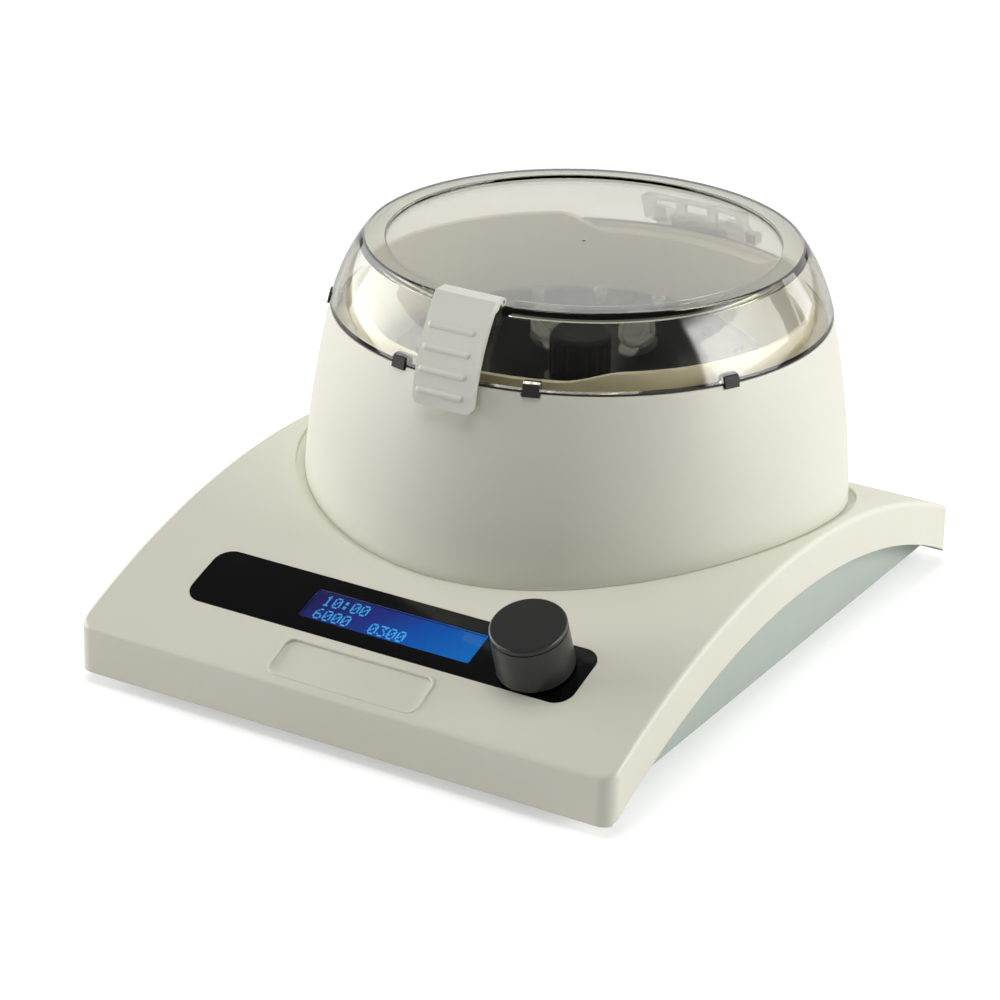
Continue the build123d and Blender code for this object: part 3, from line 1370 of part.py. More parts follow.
makers = {
    "top_cover": make_top_cover,
    "lower_housing": make_lower_housing,
    "rubber_feet": make_feet,
    "base_screws": make_base_screws,
    "bowl_shell": make_bowl_shell,
    "bowl_screws": make_bowl_screws,
    "bowl_liner": make_bowl_liner,
    "shaft_boot": make_shaft_boot,
    "motor_plate": make_motor_plate,
    "motor_isolators": make_isolators,
    "motor_screws": make_motor_screws,
    "motor_can": make_motor_can,
    "motor_stator": make_stator,
    "motor_bearings": make_bearings,
    "magnet_rotor": make_magnet_rotor,
    "drive_shaft": make_drive_shaft,
    "rotor": make_rotor,
    "rotor_nut": make_rotor_nut,
    "large_tubes": make_large_tubes,
    "small_tubes": make_small_tubes,
    "lid": make_lid,
    "rim_seal": make_rim_seal,
    "lid_hinge_bracket": make_hinge_bracket,
    "hinge_pin": make_hinge_pin,
    "lid_magnet": make_lid_magnet,
    "lid_sensor": make_lid_sensor,
    "latch": make_latch,
    "latch_pin": make_latch_pin,
    "latch_spring": make_latch_spring,
    "fascia_panel": make_fascia_panel,
    "display_window": make_display_window,
    "display_module": make_display_module,
    "display_board": make_display_board,
    "display_screws": make_display_screws,
    "encoder_body": make_encoder_body,
    "encoder_nut": make_encoder_nut,
    "encoder_plunger": make_encoder_plunger,
    "encoder_shaft": make_encoder_shaft,
    "control_knob": make_control_knob,
    "control_board": make_control_board,
    "board_screws": make_board_screws,
    "power_inlet": make_power_inlet,
    "inlet_nut": make_inlet_nut,
    "switch_body": make_switch_body,
    "power_rocker": make_power_rocker,
}

os.makedirs("parts", exist_ok=True)
for node_name, maker in makers.items():
    write(node_name, maker())
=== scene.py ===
"""Bench-top centrifuge and vortex mixer: finishes, fine pieces, studio and camera."""
import logging
import math
from collections.abc import Iterator
from dataclasses import dataclass
from enum import Enum
from typing import ClassVar

import bpy
from mathutils import Matrix, Vector


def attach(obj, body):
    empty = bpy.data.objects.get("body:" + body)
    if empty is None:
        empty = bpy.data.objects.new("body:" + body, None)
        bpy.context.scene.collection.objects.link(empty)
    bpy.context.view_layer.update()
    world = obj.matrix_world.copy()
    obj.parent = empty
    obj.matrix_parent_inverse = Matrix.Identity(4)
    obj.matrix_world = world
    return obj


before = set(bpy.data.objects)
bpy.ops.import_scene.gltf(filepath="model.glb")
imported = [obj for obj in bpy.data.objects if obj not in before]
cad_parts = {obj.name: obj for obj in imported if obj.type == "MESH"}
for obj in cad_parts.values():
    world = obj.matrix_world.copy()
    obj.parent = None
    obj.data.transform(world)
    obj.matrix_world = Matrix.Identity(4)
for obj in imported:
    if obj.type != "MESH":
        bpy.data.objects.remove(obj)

log = logging.getLogger("scene")

Colour = tuple[float, float, float]
Point = tuple[float, float, float]
Span = tuple[float, float]
Socket = bpy.types.NodeSocket
MM = 0.001


class Body(Enum):
    """CAD bodies that the new pieces ride on."""

    BASE = "base"
    ROCKER = "rocker"


class Graph:
    """Adds and links the shader nodes of one material."""

    def __init__(self, name: str) -> None:
        """Start an empty material.

        Args:
            name: name of the material.
        """
        self.material = bpy.data.materials.new(name)
        self.material.use_nodes = True
        self.tree = self.material.node_tree
        self.tree.nodes.clear()
        self.output = self.tree.nodes.new("ShaderNodeOutputMaterial")
        self.coords = self.tree.nodes.new("ShaderNodeTexCoord").outputs["Object"]

    def node(self, kind: str, sockets: dict | None = None, **settings) -> bpy.types.Node:
        """Add a node.

        Args:
            kind: Blender's node type name.
            sockets: input name or index to a value, or to a socket to link from.
            settings: attributes of the node.

        Returns:
            The new node.
        """
        node = self.tree.nodes.new(kind)
        for key, value in settings.items():
            setattr(node, key, value)
        for key, value in (sockets or {}).items():
            if isinstance(value, Socket):
                self.tree.links.new(value, node.inputs[key])
            else:
                node.inputs[key].default_value = value
        return node

    def noise(self, scale: float, detail: float = 3.0, stretch: Point = (1.0, 1.0, 1.0)) -> Socket:
        """Noise on object coordinates.

        Args:
            scale: features per metre.
            detail: octaves.
            stretch: scale of each axis.

        Returns:
            The noise's value socket.
        """
        mapping = self.node("ShaderNodeMapping", {"Vector": self.coords, "Scale": stretch})
        noise = self.node(
            "ShaderNodeTexNoise", {"Vector": mapping.outputs[0], "Scale": scale, "Detail": detail})
        return noise.outputs["Fac"]

    def blend(self, factor: Socket, first: Colour | Socket, second: Colour) -> Socket:
        """Colour mix driven by a factor.

        Args:
            factor: value socket from 0 to 1.
            first: colour at 0.
            second: colour at 1.

        Returns:
            The mixed colour socket.
        """
        start = first if isinstance(first, Socket) else (*first, 1.0)
        mix = self.node(
            "ShaderNodeMix", {"Factor": factor, "A": start, "B": (*second, 1.0)}, data_type="RGBA")
        return next(s for s in mix.outputs if s.enabled and s.type == "RGBA")

    def spread(self, value: Socket, low: float, high: float, span: Span = (0.3, 0.7)) -> Socket:
        """Map a value's range onto another one.

        Args:
            value: socket to map.
            low: result at the span's start.
            high: result at the span's end.
            span: values that give low and high.

        Returns:
            The mapped socket.
        """
        ranged = self.node("ShaderNodeMapRange", {
            "Value": value, "From Min": span[0], "From Max": span[1], "To Min": low, "To Max": high})
        return ranged.outputs["Result"]

    def vary(self, low: float, high: float, scale: float, detail: float = 3.0) -> Socket:
        """Value that wanders between two levels over the surface."""
        return self.spread(self.noise(scale, detail), low, high)

    def mottle(self, first: Colour, second: Colour, scale: float, detail: float = 3.0) -> Socket:
        """Two tints that drift into each other over the surface."""
        return self.blend(self.vary(0.0, 1.0, scale, detail), first, second)

    def bump(self, height: Socket, strength: float, distance: float) -> Socket:
        """Surface relief from a height socket."""
        node = self.node("ShaderNodeBump", {"Height": height, "Strength": strength, "Distance": distance})
        return node.outputs["Normal"]

    def principled(self, sockets: dict) -> Socket:
        """Principled shader with the given inputs."""
        return self.node("ShaderNodeBsdfPrincipled", sockets).outputs["BSDF"]

    def finish(self, shader: Socket) -> bpy.types.Material:
        """Link the surface and return the material."""
        self.tree.links.new(shader, self.output.inputs["Surface"])
        return self.material


@dataclass(frozen=True)
class MouldedPlastic:
    """Opaque moulded plastic: slow drift of tint, fine spark-eroded grain, uneven gloss."""

    name: str
    colour: Colour
    drift: Colour
    roughness: float
    grain: float = 1400.0
    relief: float = 0.12
    sheen: float = 0.5
    index: float = 1.5
    drift_scale: float = 14.0
    gloss_scale: float = 60.0
    smoother: float = 0.04
    duller: float = 0.05
    grain_height: float = 0.0001

    def build(self) -> bpy.types.Material:
        """Build the material.

        Returns:
            The material.
        """
        graph = Graph(self.name)
        colour = graph.mottle(self.colour, self.drift, self.drift_scale, detail=4.0)
        gloss = graph.vary(self.roughness - self.smoother, self.roughness + self.duller, self.gloss_scale)
        relief = graph.bump(graph.noise(self.grain, detail=2.0), self.relief, self.grain_height)
        return graph.finish(graph.principled({
            "Base Color": colour, "Roughness": gloss, "Normal": relief, "IOR": self.index,
            "Specular IOR Level": self.sheen}))


@dataclass(frozen=True)
class ClearPlastic:
    """Tinted clear plastic, which lets the lamps' light through to what is inside."""

    name: str
    tint: Colour
    smoke: Colour
    density: float
    shadow: Colour
    index: float
    roughness: float = 0.02
    duller: float = 0.02
    gloss_scale: float = 40.0
    flow: float = 0.04
    flow_scale: float = 9.0
    flow_height: float = 0.001

    def build(self) -> bpy.types.Material:
        """Build the material.

        Returns:
            The material.
        """
        graph = Graph(self.name)
        gloss = graph.vary(self.roughness, self.roughness + self.duller, self.gloss_scale, detail=2.0)
        flow = graph.bump(graph.noise(self.flow_scale, detail=1.0), self.flow, self.flow_height)
        glass = graph.principled({
            "Base Color": (*self.tint, 1.0), "Roughness": gloss, "Normal": flow, "IOR": self.index,
            "Transmission Weight": 1.0})
        path = graph.node("ShaderNodeLightPath")
        passing = graph.node("ShaderNodeBsdfTransparent", {"Color": (*self.shadow, 1.0)})
        mix = graph.node("ShaderNodeMixShader", {
            0: path.outputs["Is Shadow Ray"], 1: glass, 2: passing.outputs["BSDF"]})
        smoke = graph.node("ShaderNodeVolumeAbsorption", {
            "Color": (*self.smoke, 1.0), "Density": self.density})
        graph.tree.links.new(smoke.outputs["Volume"], graph.output.inputs["Volume"])
        return graph.finish(mix.outputs["Shader"])


@dataclass(frozen=True)
class MilkyPlastic:
    """Natural polypropylene: milky, half see-through, with a soft sheen."""

    name: str
    colour: Colour
    drift: Colour
    transmission: float
    roughness: float
    subsurface: float
    relief: float = 0.06
    index: float = 1.49
    scatter: float = 0.004
    drift_scale: float = 45.0
    grain: float = 900.0
    grain_height: float = 0.0001
    gloss_scale: float = 120.0
    uneven: float = 0.02

    def build(self) -> bpy.types.Material:
        """Build the material.

        Returns:
            The material.
        """
        graph = Graph(self.name)
        colour = graph.mottle(self.colour, self.drift, self.drift_scale)
        relief = graph.bump(graph.noise(self.grain, detail=2.0), self.relief, self.grain_height)
        gloss = graph.vary(
            self.roughness - self.uneven, self.roughness + self.uneven, self.gloss_scale, detail=2.0)
        return graph.finish(graph.principled({
            "Base Color": colour, "Roughness": gloss, "Normal": relief, "IOR": self.index,
            "Transmission Weight": self.transmission, "Subsurface Weight": self.subsurface,
            "Subsurface Scale": self.scatter}))


@dataclass(frozen=True)
class BrushedMetal:
    """Turned or rolled metal with fine lines along one axis."""

    name: str
    colour: Colour
    drift: Colour
    roughness: float = 0.28
    stretch: Point = (1.0, 1.0, 30.0)
    line_scale: float = 160.0
    line_relief: float = 0.1
    line_height: float = 0.0001
    drift_scale: float = 70.0
    smoother: float = 0.08
    duller: float = 0.1

    def build(self) -> bpy.types.Material:
        """Build the material.

        Returns:
            The material.
        """
        graph = Graph(self.name)
        lines = graph.noise(self.line_scale, 4.0, self.stretch)
        colour = graph.mottle(self.colour, self.drift, self.drift_scale)
        gloss = graph.spread(lines, self.roughness - self.smoother, self.roughness + self.duller)
        return graph.finish(graph.principled({
            "Base Color": colour, "Metallic": 1.0, "Roughness": gloss,
            "Normal": graph.bump(lines, self.line_relief, self.line_height)}))


@dataclass(frozen=True)
class Windings:
    """Copper wire laid in close turns around an upright axis, with painted shade in the grooves between the
    turns.
    """

    name: str = "stator_copper"
    copper: Colour = (0.62, 0.27, 0.11)
    # dark is painted shade: it fills the grooves between the turns, since the mesh has no separate wires
    dark: Colour = (0.12, 0.05, 0.03)
    turns: float = 700.0
    disorder: float = 1.5
    metal: float = 0.8
    gap_roughness: float = 0.5
    wire_roughness: float = 0.25
    relief: float = 0.5
    wire_height: float = 0.0002

    def build(self) -> bpy.types.Material:
        """Build the material.

        Returns:
            The material.
        """
        graph = Graph(self.name)
        wave = graph.node(
            "ShaderNodeTexWave", {"Vector": graph.coords, "Scale": self.turns, "Distortion": self.disorder},
            bands_direction="Z").outputs["Fac"]
        return graph.finish(graph.principled({
            # the wave bands blend the painted groove shade (dark) into the copper of the turns
            "Base Color": graph.blend(wave, self.dark, self.copper), "Metallic": self.metal,
            "Roughness": graph.spread(wave, self.gap_roughness, self.wire_roughness),
            "Normal": graph.bump(wave, self.relief, self.wire_height)}))


@dataclass(frozen=True)
class SolderMask:
    """Circuit board: green mask over copper tracks, with pale legend specks."""

    name: str = "board_mask"
    mask: Colour = (0.012, 0.11, 0.045)
    track: Colour = (0.03, 0.2, 0.07)
    speck: Colour = (0.75, 0.78, 0.72)
    track_scale: float = 260.0
    track_edge: Span = (0.03, 0.06)
    track_relief: float = 0.3
    track_height: float = 0.0001
    speck_scale: float = 420.0
    speck_edge: Span = (0.7, 0.74)
    gloss: Span = (0.25, 0.4)
    gloss_scale: float = 90.0
    coat: float = 0.3

    def build(self) -> bpy.types.Material:
        """Build the material.

        Returns:
            The material.
        """
        graph = Graph(self.name)
        tracks = graph.node(
            "ShaderNodeTexVoronoi", {"Vector": graph.coords, "Scale": self.track_scale},
            feature="DISTANCE_TO_EDGE", distance="CHEBYCHEV")
        line = graph.spread(tracks.outputs["Distance"], 1.0, 0.0, self.track_edge)
        base = graph.blend(line, self.mask, self.track)
        specks = graph.spread(graph.noise(self.speck_scale, detail=1.0), 0.0, 1.0, self.speck_edge)
        return graph.finish(graph.principled({
            "Base Color": graph.blend(specks, base, self.speck),
            "Roughness": graph.vary(*self.gloss, self.gloss_scale),
            "Normal": graph.bump(line, self.track_relief, self.track_height), "Coat Weight": self.coat}))


@dataclass(frozen=True)
class Backlight:
    """Lit screen whose colour runs from violet at one side to bright blue at the other.

    start and end are metres across the instrument. slant leans the change with the place along it,
    measured from middle.
    """

    name: str
    stops: tuple[tuple[float, Colour], ...]
    start: float = -0.029
    end: float = 0.032
    glow: float = 0.9
    reflecting: float = 0.08
    sheen: float = 0.05
    slant: float = 1.1
    middle: float = -0.0872
    gloss: Span = (0.3, 0.42)
    gloss_scale: float = 300.0

    def build(self) -> bpy.types.Material:
        """Build the material.

        Returns:
            The material.
        """
        graph = Graph(self.name)
        parts = graph.node("ShaderNodeSeparateXYZ", {"Vector": graph.coords})
        lean = graph.node("ShaderNodeMath", {
            0: parts.outputs["Y"], 1: -self.slant, 2: self.slant * self.middle}, operation="MULTIPLY_ADD")
        along = graph.node("ShaderNodeMath", {0: parts.outputs["X"], 1: lean.outputs[0]}, operation="ADD")
        place = graph.spread(along.outputs[0], 0.0, 1.0, (self.start, self.end))
        ramp = graph.node("ShaderNodeValToRGB", {"Fac": place})
        elements = ramp.color_ramp.elements
        for index, (position, colour) in enumerate(self.stops):
            stop = elements[index] if index < len(elements) else elements.new(position)
            stop.position = position
            stop.color = (*colour, 1.0)
        face = graph.node("ShaderNodeVectorMath", {
            0: ramp.outputs["Color"], "Scale": self.reflecting}, operation="SCALE")
        return graph.finish(graph.principled({
            "Base Color": face.outputs[0], "Emission Color": ramp.outputs["Color"],
            "Emission Strength": self.glow, "Roughness": graph.vary(*self.gloss, self.gloss_scale),
            "Specular IOR Level": self.sheen}))


Finish = MouldedPlastic | ClearPlastic | MilkyPlastic | BrushedMetal | Windings | SolderMask | Backlight

COVER = MouldedPlastic("cover_ivory", (0.80, 0.79, 0.68), (0.775, 0.765, 0.65), roughness=0.4)
BOWL = MouldedPlastic("bowl_ivory", (0.80, 0.79, 0.69), (0.785, 0.77, 0.67), roughness=0.36)
LINER = MouldedPlastic("liner_beige", (0.68, 0.62, 0.475), (0.65, 0.59, 0.45), roughness=0.34)
HOUSING = MouldedPlastic("housing_grey", (0.48, 0.53, 0.485), (0.45, 0.50, 0.455), roughness=0.5)
RUBBER = MouldedPlastic("soft_black", (0.018, 0.017, 0.016), (0.03, 0.028, 0.026), 0.6, 700.0, 0.35)
ROTOR = MouldedPlastic(
    "rotor_black", (0.004, 0.004, 0.0045), (0.007, 0.007, 0.008), 0.3, 1500.0, 0.15, sheen=0.35)
NUT = MouldedPlastic(
    "nut_matt_black", (0.005, 0.005, 0.0055), (0.008, 0.008, 0.009), 0.55, 1500.0, 0.3, sheen=0.15)
KNOB = MouldedPlastic("knob_graphite", (0.026, 0.027, 0.026), (0.033, 0.034, 0.033), 0.3, 1800.0, 0.2)
BLACK = MouldedPlastic("switch_black", (0.015, 0.015, 0.016), (0.025, 0.025, 0.026), 0.35, 1600.0, 0.2)
FASCIA = MouldedPlastic(
    "fascia_piano_black", (0.0015, 0.0015, 0.0018), (0.002, 0.002, 0.0025), 0.1, 60.0, 0.02)
GLASS_FILL = MouldedPlastic("screen_glass", (0.01, 0.015, 0.05), (0.015, 0.02, 0.06), 0.2, 400.0, 0.05)
CHIP = MouldedPlastic("chip_epoxy", (0.02, 0.02, 0.022), (0.035, 0.035, 0.037), 0.5, 1200.0, 0.3)
MARK = MouldedPlastic("pale_mark", (0.78, 0.78, 0.75), (0.7, 0.7, 0.67), 0.5, 1500.0, 0.1)
LID_CLEAR = ClearPlastic(
    "lid_smoke", (0.985, 0.98, 0.965), (0.45, 0.45, 0.32), 175.0, (0.83, 0.825, 0.79), index=1.585)
WINDOW_CLEAR = ClearPlastic(
    "window_clear", (0.98, 0.98, 1.0), (0.9, 0.9, 0.95), 20.0, (0.95, 0.95, 0.97), index=1.3)
BRACKET_CLEAR = MilkyPlastic(
    "bracket_frost", (0.98, 0.985, 0.985), (0.96, 0.97, 0.97), 0.68, 0.2, 0.0, relief=0.02)
LATCH = MilkyPlastic("latch_milky", (0.79, 0.785, 0.71), (0.77, 0.765, 0.69), 0.0, 0.36, 0.0)
TUBE = MilkyPlastic("tube_natural", (0.90, 0.91, 0.88), (0.86, 0.87, 0.84), 0.82, 0.12, 0.05, relief=0.02)
STEEL = BrushedMetal("pin_steel", (0.62, 0.62, 0.61), (0.5, 0.5, 0.5))
ZINC = BrushedMetal("screw_zinc", (0.55, 0.56, 0.57), (0.42, 0.43, 0.45), 0.35)
PLATE = BrushedMetal("plate_rolled", (0.56, 0.56, 0.55), (0.45, 0.45, 0.45), 0.4, (30.0, 1.0, 1.0))
COPPER = Windings()
BOARD = SolderMask()
SCREEN = Backlight("screen_backlight", (
    (0.0, (0.012, 0.013, 0.095)), (0.36, (0.011, 0.026, 0.20)), (0.62, (0.001, 0.07, 0.36)),
    (1.0, (0.001, 0.13, 0.46))))
DOTS = Backlight("screen_dots", ((0.0, (0.05, 0.36, 0.80)), (1.0, (0.09, 0.52, 0.92))))

NODE_FINISH: dict[str, Finish] = {
    "top_cover": COVER, "bowl_shell": BOWL, "bowl_liner": LINER, "lower_housing": HOUSING,
    "rubber_feet": RUBBER, "shaft_boot": RUBBER, "motor_isolators": RUBBER, "rim_seal": RUBBER,
    "base_screws": ZINC, "bowl_screws": ZINC, "motor_screws": ZINC, "display_screws": ZINC,
    "board_screws": ZINC, "inlet_nut": ZINC, "encoder_nut": ZINC, "hinge_pin": STEEL,
    "latch_pin": STEEL, "latch_spring": STEEL, "drive_shaft": STEEL, "motor_bearings": STEEL,
    "encoder_shaft": STEEL, "encoder_plunger": STEEL, "motor_plate": PLATE, "motor_can": PLATE,
    "lid_magnet": PLATE, "magnet_rotor": CHIP, "motor_stator": COPPER, "rotor": ROTOR,
    "rotor_nut": NUT, "large_tubes": TUBE, "small_tubes": TUBE,
    "lid": LID_CLEAR, "lid_hinge_bracket": BRACKET_CLEAR, "lid_sensor": CHIP, "latch": LATCH,
    "fascia_panel": FASCIA, "display_window": WINDOW_CLEAR, "display_module": GLASS_FILL,
    "display_board": BOARD, "control_board": BOARD, "encoder_body": CHIP, "control_knob": KNOB,
    "power_inlet": BLACK, "switch_body": BLACK, "power_rocker": BLACK,
}


def deselect() -> None:
    """Leave edit mode and deselect everything."""
    if bpy.context.object is not None and bpy.context.object.mode != "OBJECT":
        bpy.ops.object.mode_set(mode="OBJECT")
    bpy.ops.object.select_all(action="DESELECT")


def pick(piece: bpy.types.Object) -> None:
    """Select one object and make it active.

    Args:
        piece: object to select.
    """
    deselect()
    piece.select_set(True)
    bpy.context.view_layer.objects.active = piece


def settle(piece: bpy.types.Object) -> None:
    """Apply an object's place, turn and size to its mesh."""
    pick(piece)
    bpy.ops.object.transform_apply(location=True, rotation=True, scale=True)


def paint(piece: bpy.types.Object, material: bpy.types.Material) -> None:
    """Give an object one material."""
    piece.data.materials.clear()
    piece.data.materials.append(material)


class FinishRack:
    """Builds each finish once and hands out its material."""

    def __init__(self) -> None:
        """Start with no material built."""
        self.built: dict[str, bpy.types.Material] = {}

    def get(self, finish: Finish) -> bpy.types.Material:
        """Material of a finish, built on first use.

        Args:
            finish: the finish asked for.

        Returns:
            Its material.
        """
        if finish.name not in self.built:
            self.built[finish.name] = finish.build()
        return self.built[finish.name]

    def dress_nodes(self) -> None:
        """Give every CAD node its finish."""
        for node, finish in NODE_FINISH.items():
            paint(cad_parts[node], self.get(finish))
            log.info("%s wears %s", node, finish.name)


@dataclass
class Slope:
    """The arched cover's surface, as the front panel needs it. Millimetres."""

    depth: float = 235.0
    foot: float = 4.0
    lip: float = 15.6
    crest: float = 43.3

    def frame_at(self, x: float, y: float, lift: float) -> Matrix:
        """Axes of the slope at a point.

        Args:
            x: place across the instrument.
            y: place along the instrument.
            lift: height above the surface.

        Returns:
            Matrix whose X runs across, Y up the slope and Z out of it, in metres.
        """
        rise = self.crest - self.lip
        radius = (rise**2 + (self.depth / 2) ** 2) / (2 * rise)
        centre = self.foot + self.crest - radius
        normal = Vector((0.0, y / radius, math.sqrt(1 - (y / radius) ** 2)))
        across = Vector((1.0, 0.0, 0.0))
        up = normal.cross(across)
        place = Vector((x, y, centre + radius * normal.z)) + normal * lift
        axes = Matrix((across, up, normal)).transposed().to_4x4()
        return Matrix.Translation(place * MM) @ axes


@dataclass
class Screen:
    """Backlit character screen: lit plate and dot-matrix digits under the window. Millimetres."""

    x: float = 1.5
    y: float = -87.2
    width: float = 61.0
    height: float = 12.9
    plate_gap: float = 0.5
    plate_thickness: float = 0.05
    plate_corner: float = 0.6
    plate_lift: float = -1.24
    dot_lift: float = -1.2
    dot_width: float = 0.48
    dot_height: float = 0.58
    dot_thickness: float = 0.03
    dot_pitch: float = 0.55
    row_pitch: float = 0.66
    character_pitch: float = 3.3
    first_x: float = -26.3
    line_y: tuple[float, float] = (3.0, -2.9)
    lines: tuple[str, str] = ("10:00", "6000  0300")

    MIDDLE_ROW: ClassVar[int] = 3
    GLYPHS: ClassVar[dict[str, tuple[str, ...]]] = {
        "0": ("01110", "10001", "10011", "10101", "11001", "10001", "01110"),
        "1": ("00100", "01100", "00100", "00100", "00100", "00100", "01110"),
        "3": ("11111", "00010", "00100", "00010", "00001", "10001", "01110"),
        "6": ("00110", "01000", "10000", "11110", "10001", "10001", "01110"),
        ":": ("00000", "01100", "01100", "00000", "01100", "01100", "00000"),
        " ": (),
    }

    def build(self, rack: FinishRack, slope: Slope) -> None:
        """Build the plate and the digits."""
        self.plate(rack, slope)
        self.digits(rack, slope)

    def plate(self, rack: FinishRack, slope: Slope) -> None:
        """Lit plate with rounded corners, just under the window.

        Args:
            rack: finishes of the instrument.
            slope: surface that carries the screen.
        """
        piece = self.block(self.width - self.plate_gap, self.height - self.plate_gap, self.plate_thickness)
        piece.name = "screen_plate"
        bevel = piece.modifiers.new("corners", "BEVEL")
        bevel.width = self.plate_corner * MM
        bevel.segments = 3
        bevel.limit_method = "ANGLE"
        bevel.affect = "EDGES"
        bpy.ops.object.modifier_apply(modifier=bevel.name)
        self.seat(piece, slope, self.plate_lift)
        paint(piece, rack.get(SCREEN))
        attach(piece, Body.BASE.value)
        log.info("screen plate made")

    def digits(self, rack: FinishRack, slope: Slope) -> None:
        """Dot-matrix digits in two lines, copied from one lit dot.

        Args:
            rack: finishes of the instrument.
            slope: surface that carries the screen.
        """
        model = self.block(self.dot_width, self.dot_height, self.dot_thickness)
        dots = [self.copied(model, x, y) for x, y in self.places()]
        bpy.data.objects.remove(model)
        for dot in dots:
            dot.select_set(True)
        bpy.context.view_layer.objects.active = dots[0]
        bpy.ops.object.join()
        piece = bpy.context.object
        piece.name = "screen_digits"
        settle(piece)
        self.seat(piece, slope, self.dot_lift)
        paint(piece, rack.get(DOTS))
        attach(piece, Body.BASE.value)
        log.info("screen digits made of %d dots", len(dots))

    def places(self) -> Iterator[tuple[float, float]]:
        """Places of the lit dots.

        Returns:
            Each dot's place across and up the screen, from its middle.
        """
        for text, middle in zip(self.lines, self.line_y):
            for index, character in enumerate(text):
                left = self.first_x + index * self.character_pitch
                for row, bits in enumerate(self.GLYPHS[character]):
                    for column, bit in enumerate(bits):
                        if bit == "1":
                            up = middle + (self.MIDDLE_ROW - row) * self.row_pitch
                            yield left + column * self.dot_pitch, up

    def block(self, width: float, height: float, thickness: float) -> bpy.types.Object:
        """Thin block around the origin.

        Args:
            width: size across the screen.
            height: size up the screen.
            thickness: size out of the screen.

        Returns:
            The block, selected.
        """
        deselect()
        bpy.ops.mesh.primitive_cube_add(size=1.0)
        block = bpy.context.object
        block.scale = (width * MM, height * MM, thickness * MM)
        settle(block)
        return block

    def copied(self, model: bpy.types.Object, x: float, y: float) -> bpy.types.Object:
        """Copy of a dot with its own mesh.

        Args:
            model: dot to copy.
            x: place across the screen.
            y: place up the screen.

        Returns:
            The copy.
        """
        dot = model.copy()
        dot.data = model.data.copy()
        dot.location = (x * MM, y * MM, 0.0)
        bpy.context.scene.collection.objects.link(dot)
        return dot

    def seat(self, piece: bpy.types.Object, slope: Slope, lift: float) -> None:
        """Set a piece on the slope, under the window."""
        piece.matrix_world = slope.frame_at(self.x, self.y, lift)
        settle(piece)


@dataclass
class RockerMarks:
    """The two marks on the power switch's rocker, flush with its two slopes. Millimetres."""

    x: float = -42.0
    rear_y: float = 117.5
    z: float = 12.4
    axle_sink: float = 1.5
    rest_tilt: float = 9.0
    reach: float = 3.4
    size: float = 3.2
    emboss: float = 0.03
    crown: float = 3.1
    dip: float = 1.1
    half: float = 5.7
    proud: float = 0.02

    def build(self, rack: FinishRack) -> None:
        """Build both marks and set them on the rocker.

        Args:
            rack: finishes of the instrument.
        """
        for text, side, name in (("I", 1.0, "mark_on"), ("O", -1.0, "mark_off")):
            deselect()
            bpy.ops.object.text_add()
            piece = bpy.context.object
            piece.name = name
            piece.data.body = text
            piece.data.align_x = "CENTER"
            piece.data.align_y = "CENTER"
            piece.data.size = self.size * MM
            piece.data.extrude = self.emboss * MM
            pick(piece)
            bpy.ops.object.convert(target="MESH")
            piece.matrix_world = self.place(side)
            settle(piece)
            paint(piece, rack.get(MARK))
            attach(piece, Body.ROCKER.value)
            log.info("%s made", name)

    def place(self, side: float) -> Matrix:
        """Place of a mark at rest.

        Args:
            side: 1 for the half towards +X, -1 for the other.

        Returns:
            Matrix that sets a flat mark on that half, facing the rear.
        """
        pivot = Vector((self.x, self.rear_y - self.axle_sink, self.z)) * MM
        turn = Matrix.Rotation(math.radians(-self.rest_tilt), 4, "Z")
        lift = self.crown - self.dip * (1 - self.reach / self.half) + self.proud
        along = Matrix.Translation(Vector((side * self.reach, lift, 0.0)) * MM)
        fall = Matrix.Rotation(side * math.atan2(self.dip, self.half), 4, "Z")
        rearward = Matrix.Rotation(math.radians(180.0), 4, "Z") @ Matrix.Rotation(math.radians(90.0), 4, "X")
        return Matrix.Translation(pivot) @ turn @ along @ fall @ rearward


@dataclass(frozen=True)
class Softbox:
    """Rectangular soft lamp aimed at the instrument. Azimuth 0 is in front, 90 at its right.

    Glossy pieces mirror the lamp only where mirrored is true.
    """

    name: str
    azimuth: float
    elevation: float
    distance: float
    width: float
    height: float
    power: float
    mirrored: bool = False
    target: Point = (0.0, 0.02, 0.09)

    def build(self) -> None:
        """Hang the lamp."""
        turn, rise = math.radians(self.azimuth), math.radians(self.elevation)
        way = Vector((math.sin(turn) * math.cos(rise), -math.cos(turn) * math.cos(rise), math.sin(rise)))
        lamp = bpy.data.lights.new(self.name, "AREA")
        lamp.shape = "RECTANGLE"
        lamp.size = self.width
        lamp.size_y = self.height
        lamp.energy = self.power
        holder = bpy.data.objects.new(self.name, lamp)
        bpy.context.scene.collection.objects.link(holder)
        holder.location = Vector(self.target) + way * self.distance
        holder.rotation_euler = (-way).to_track_quat("-Z", "Y").to_euler()
        holder.visible_camera = False
        holder.visible_glossy = self.mirrored


class Maths(Enum):
    """Ways to combine two values."""

    ADD = "ADD"
    MULTIPLY = "MULTIPLY"
    ARCTAN2 = "ARCTAN2"


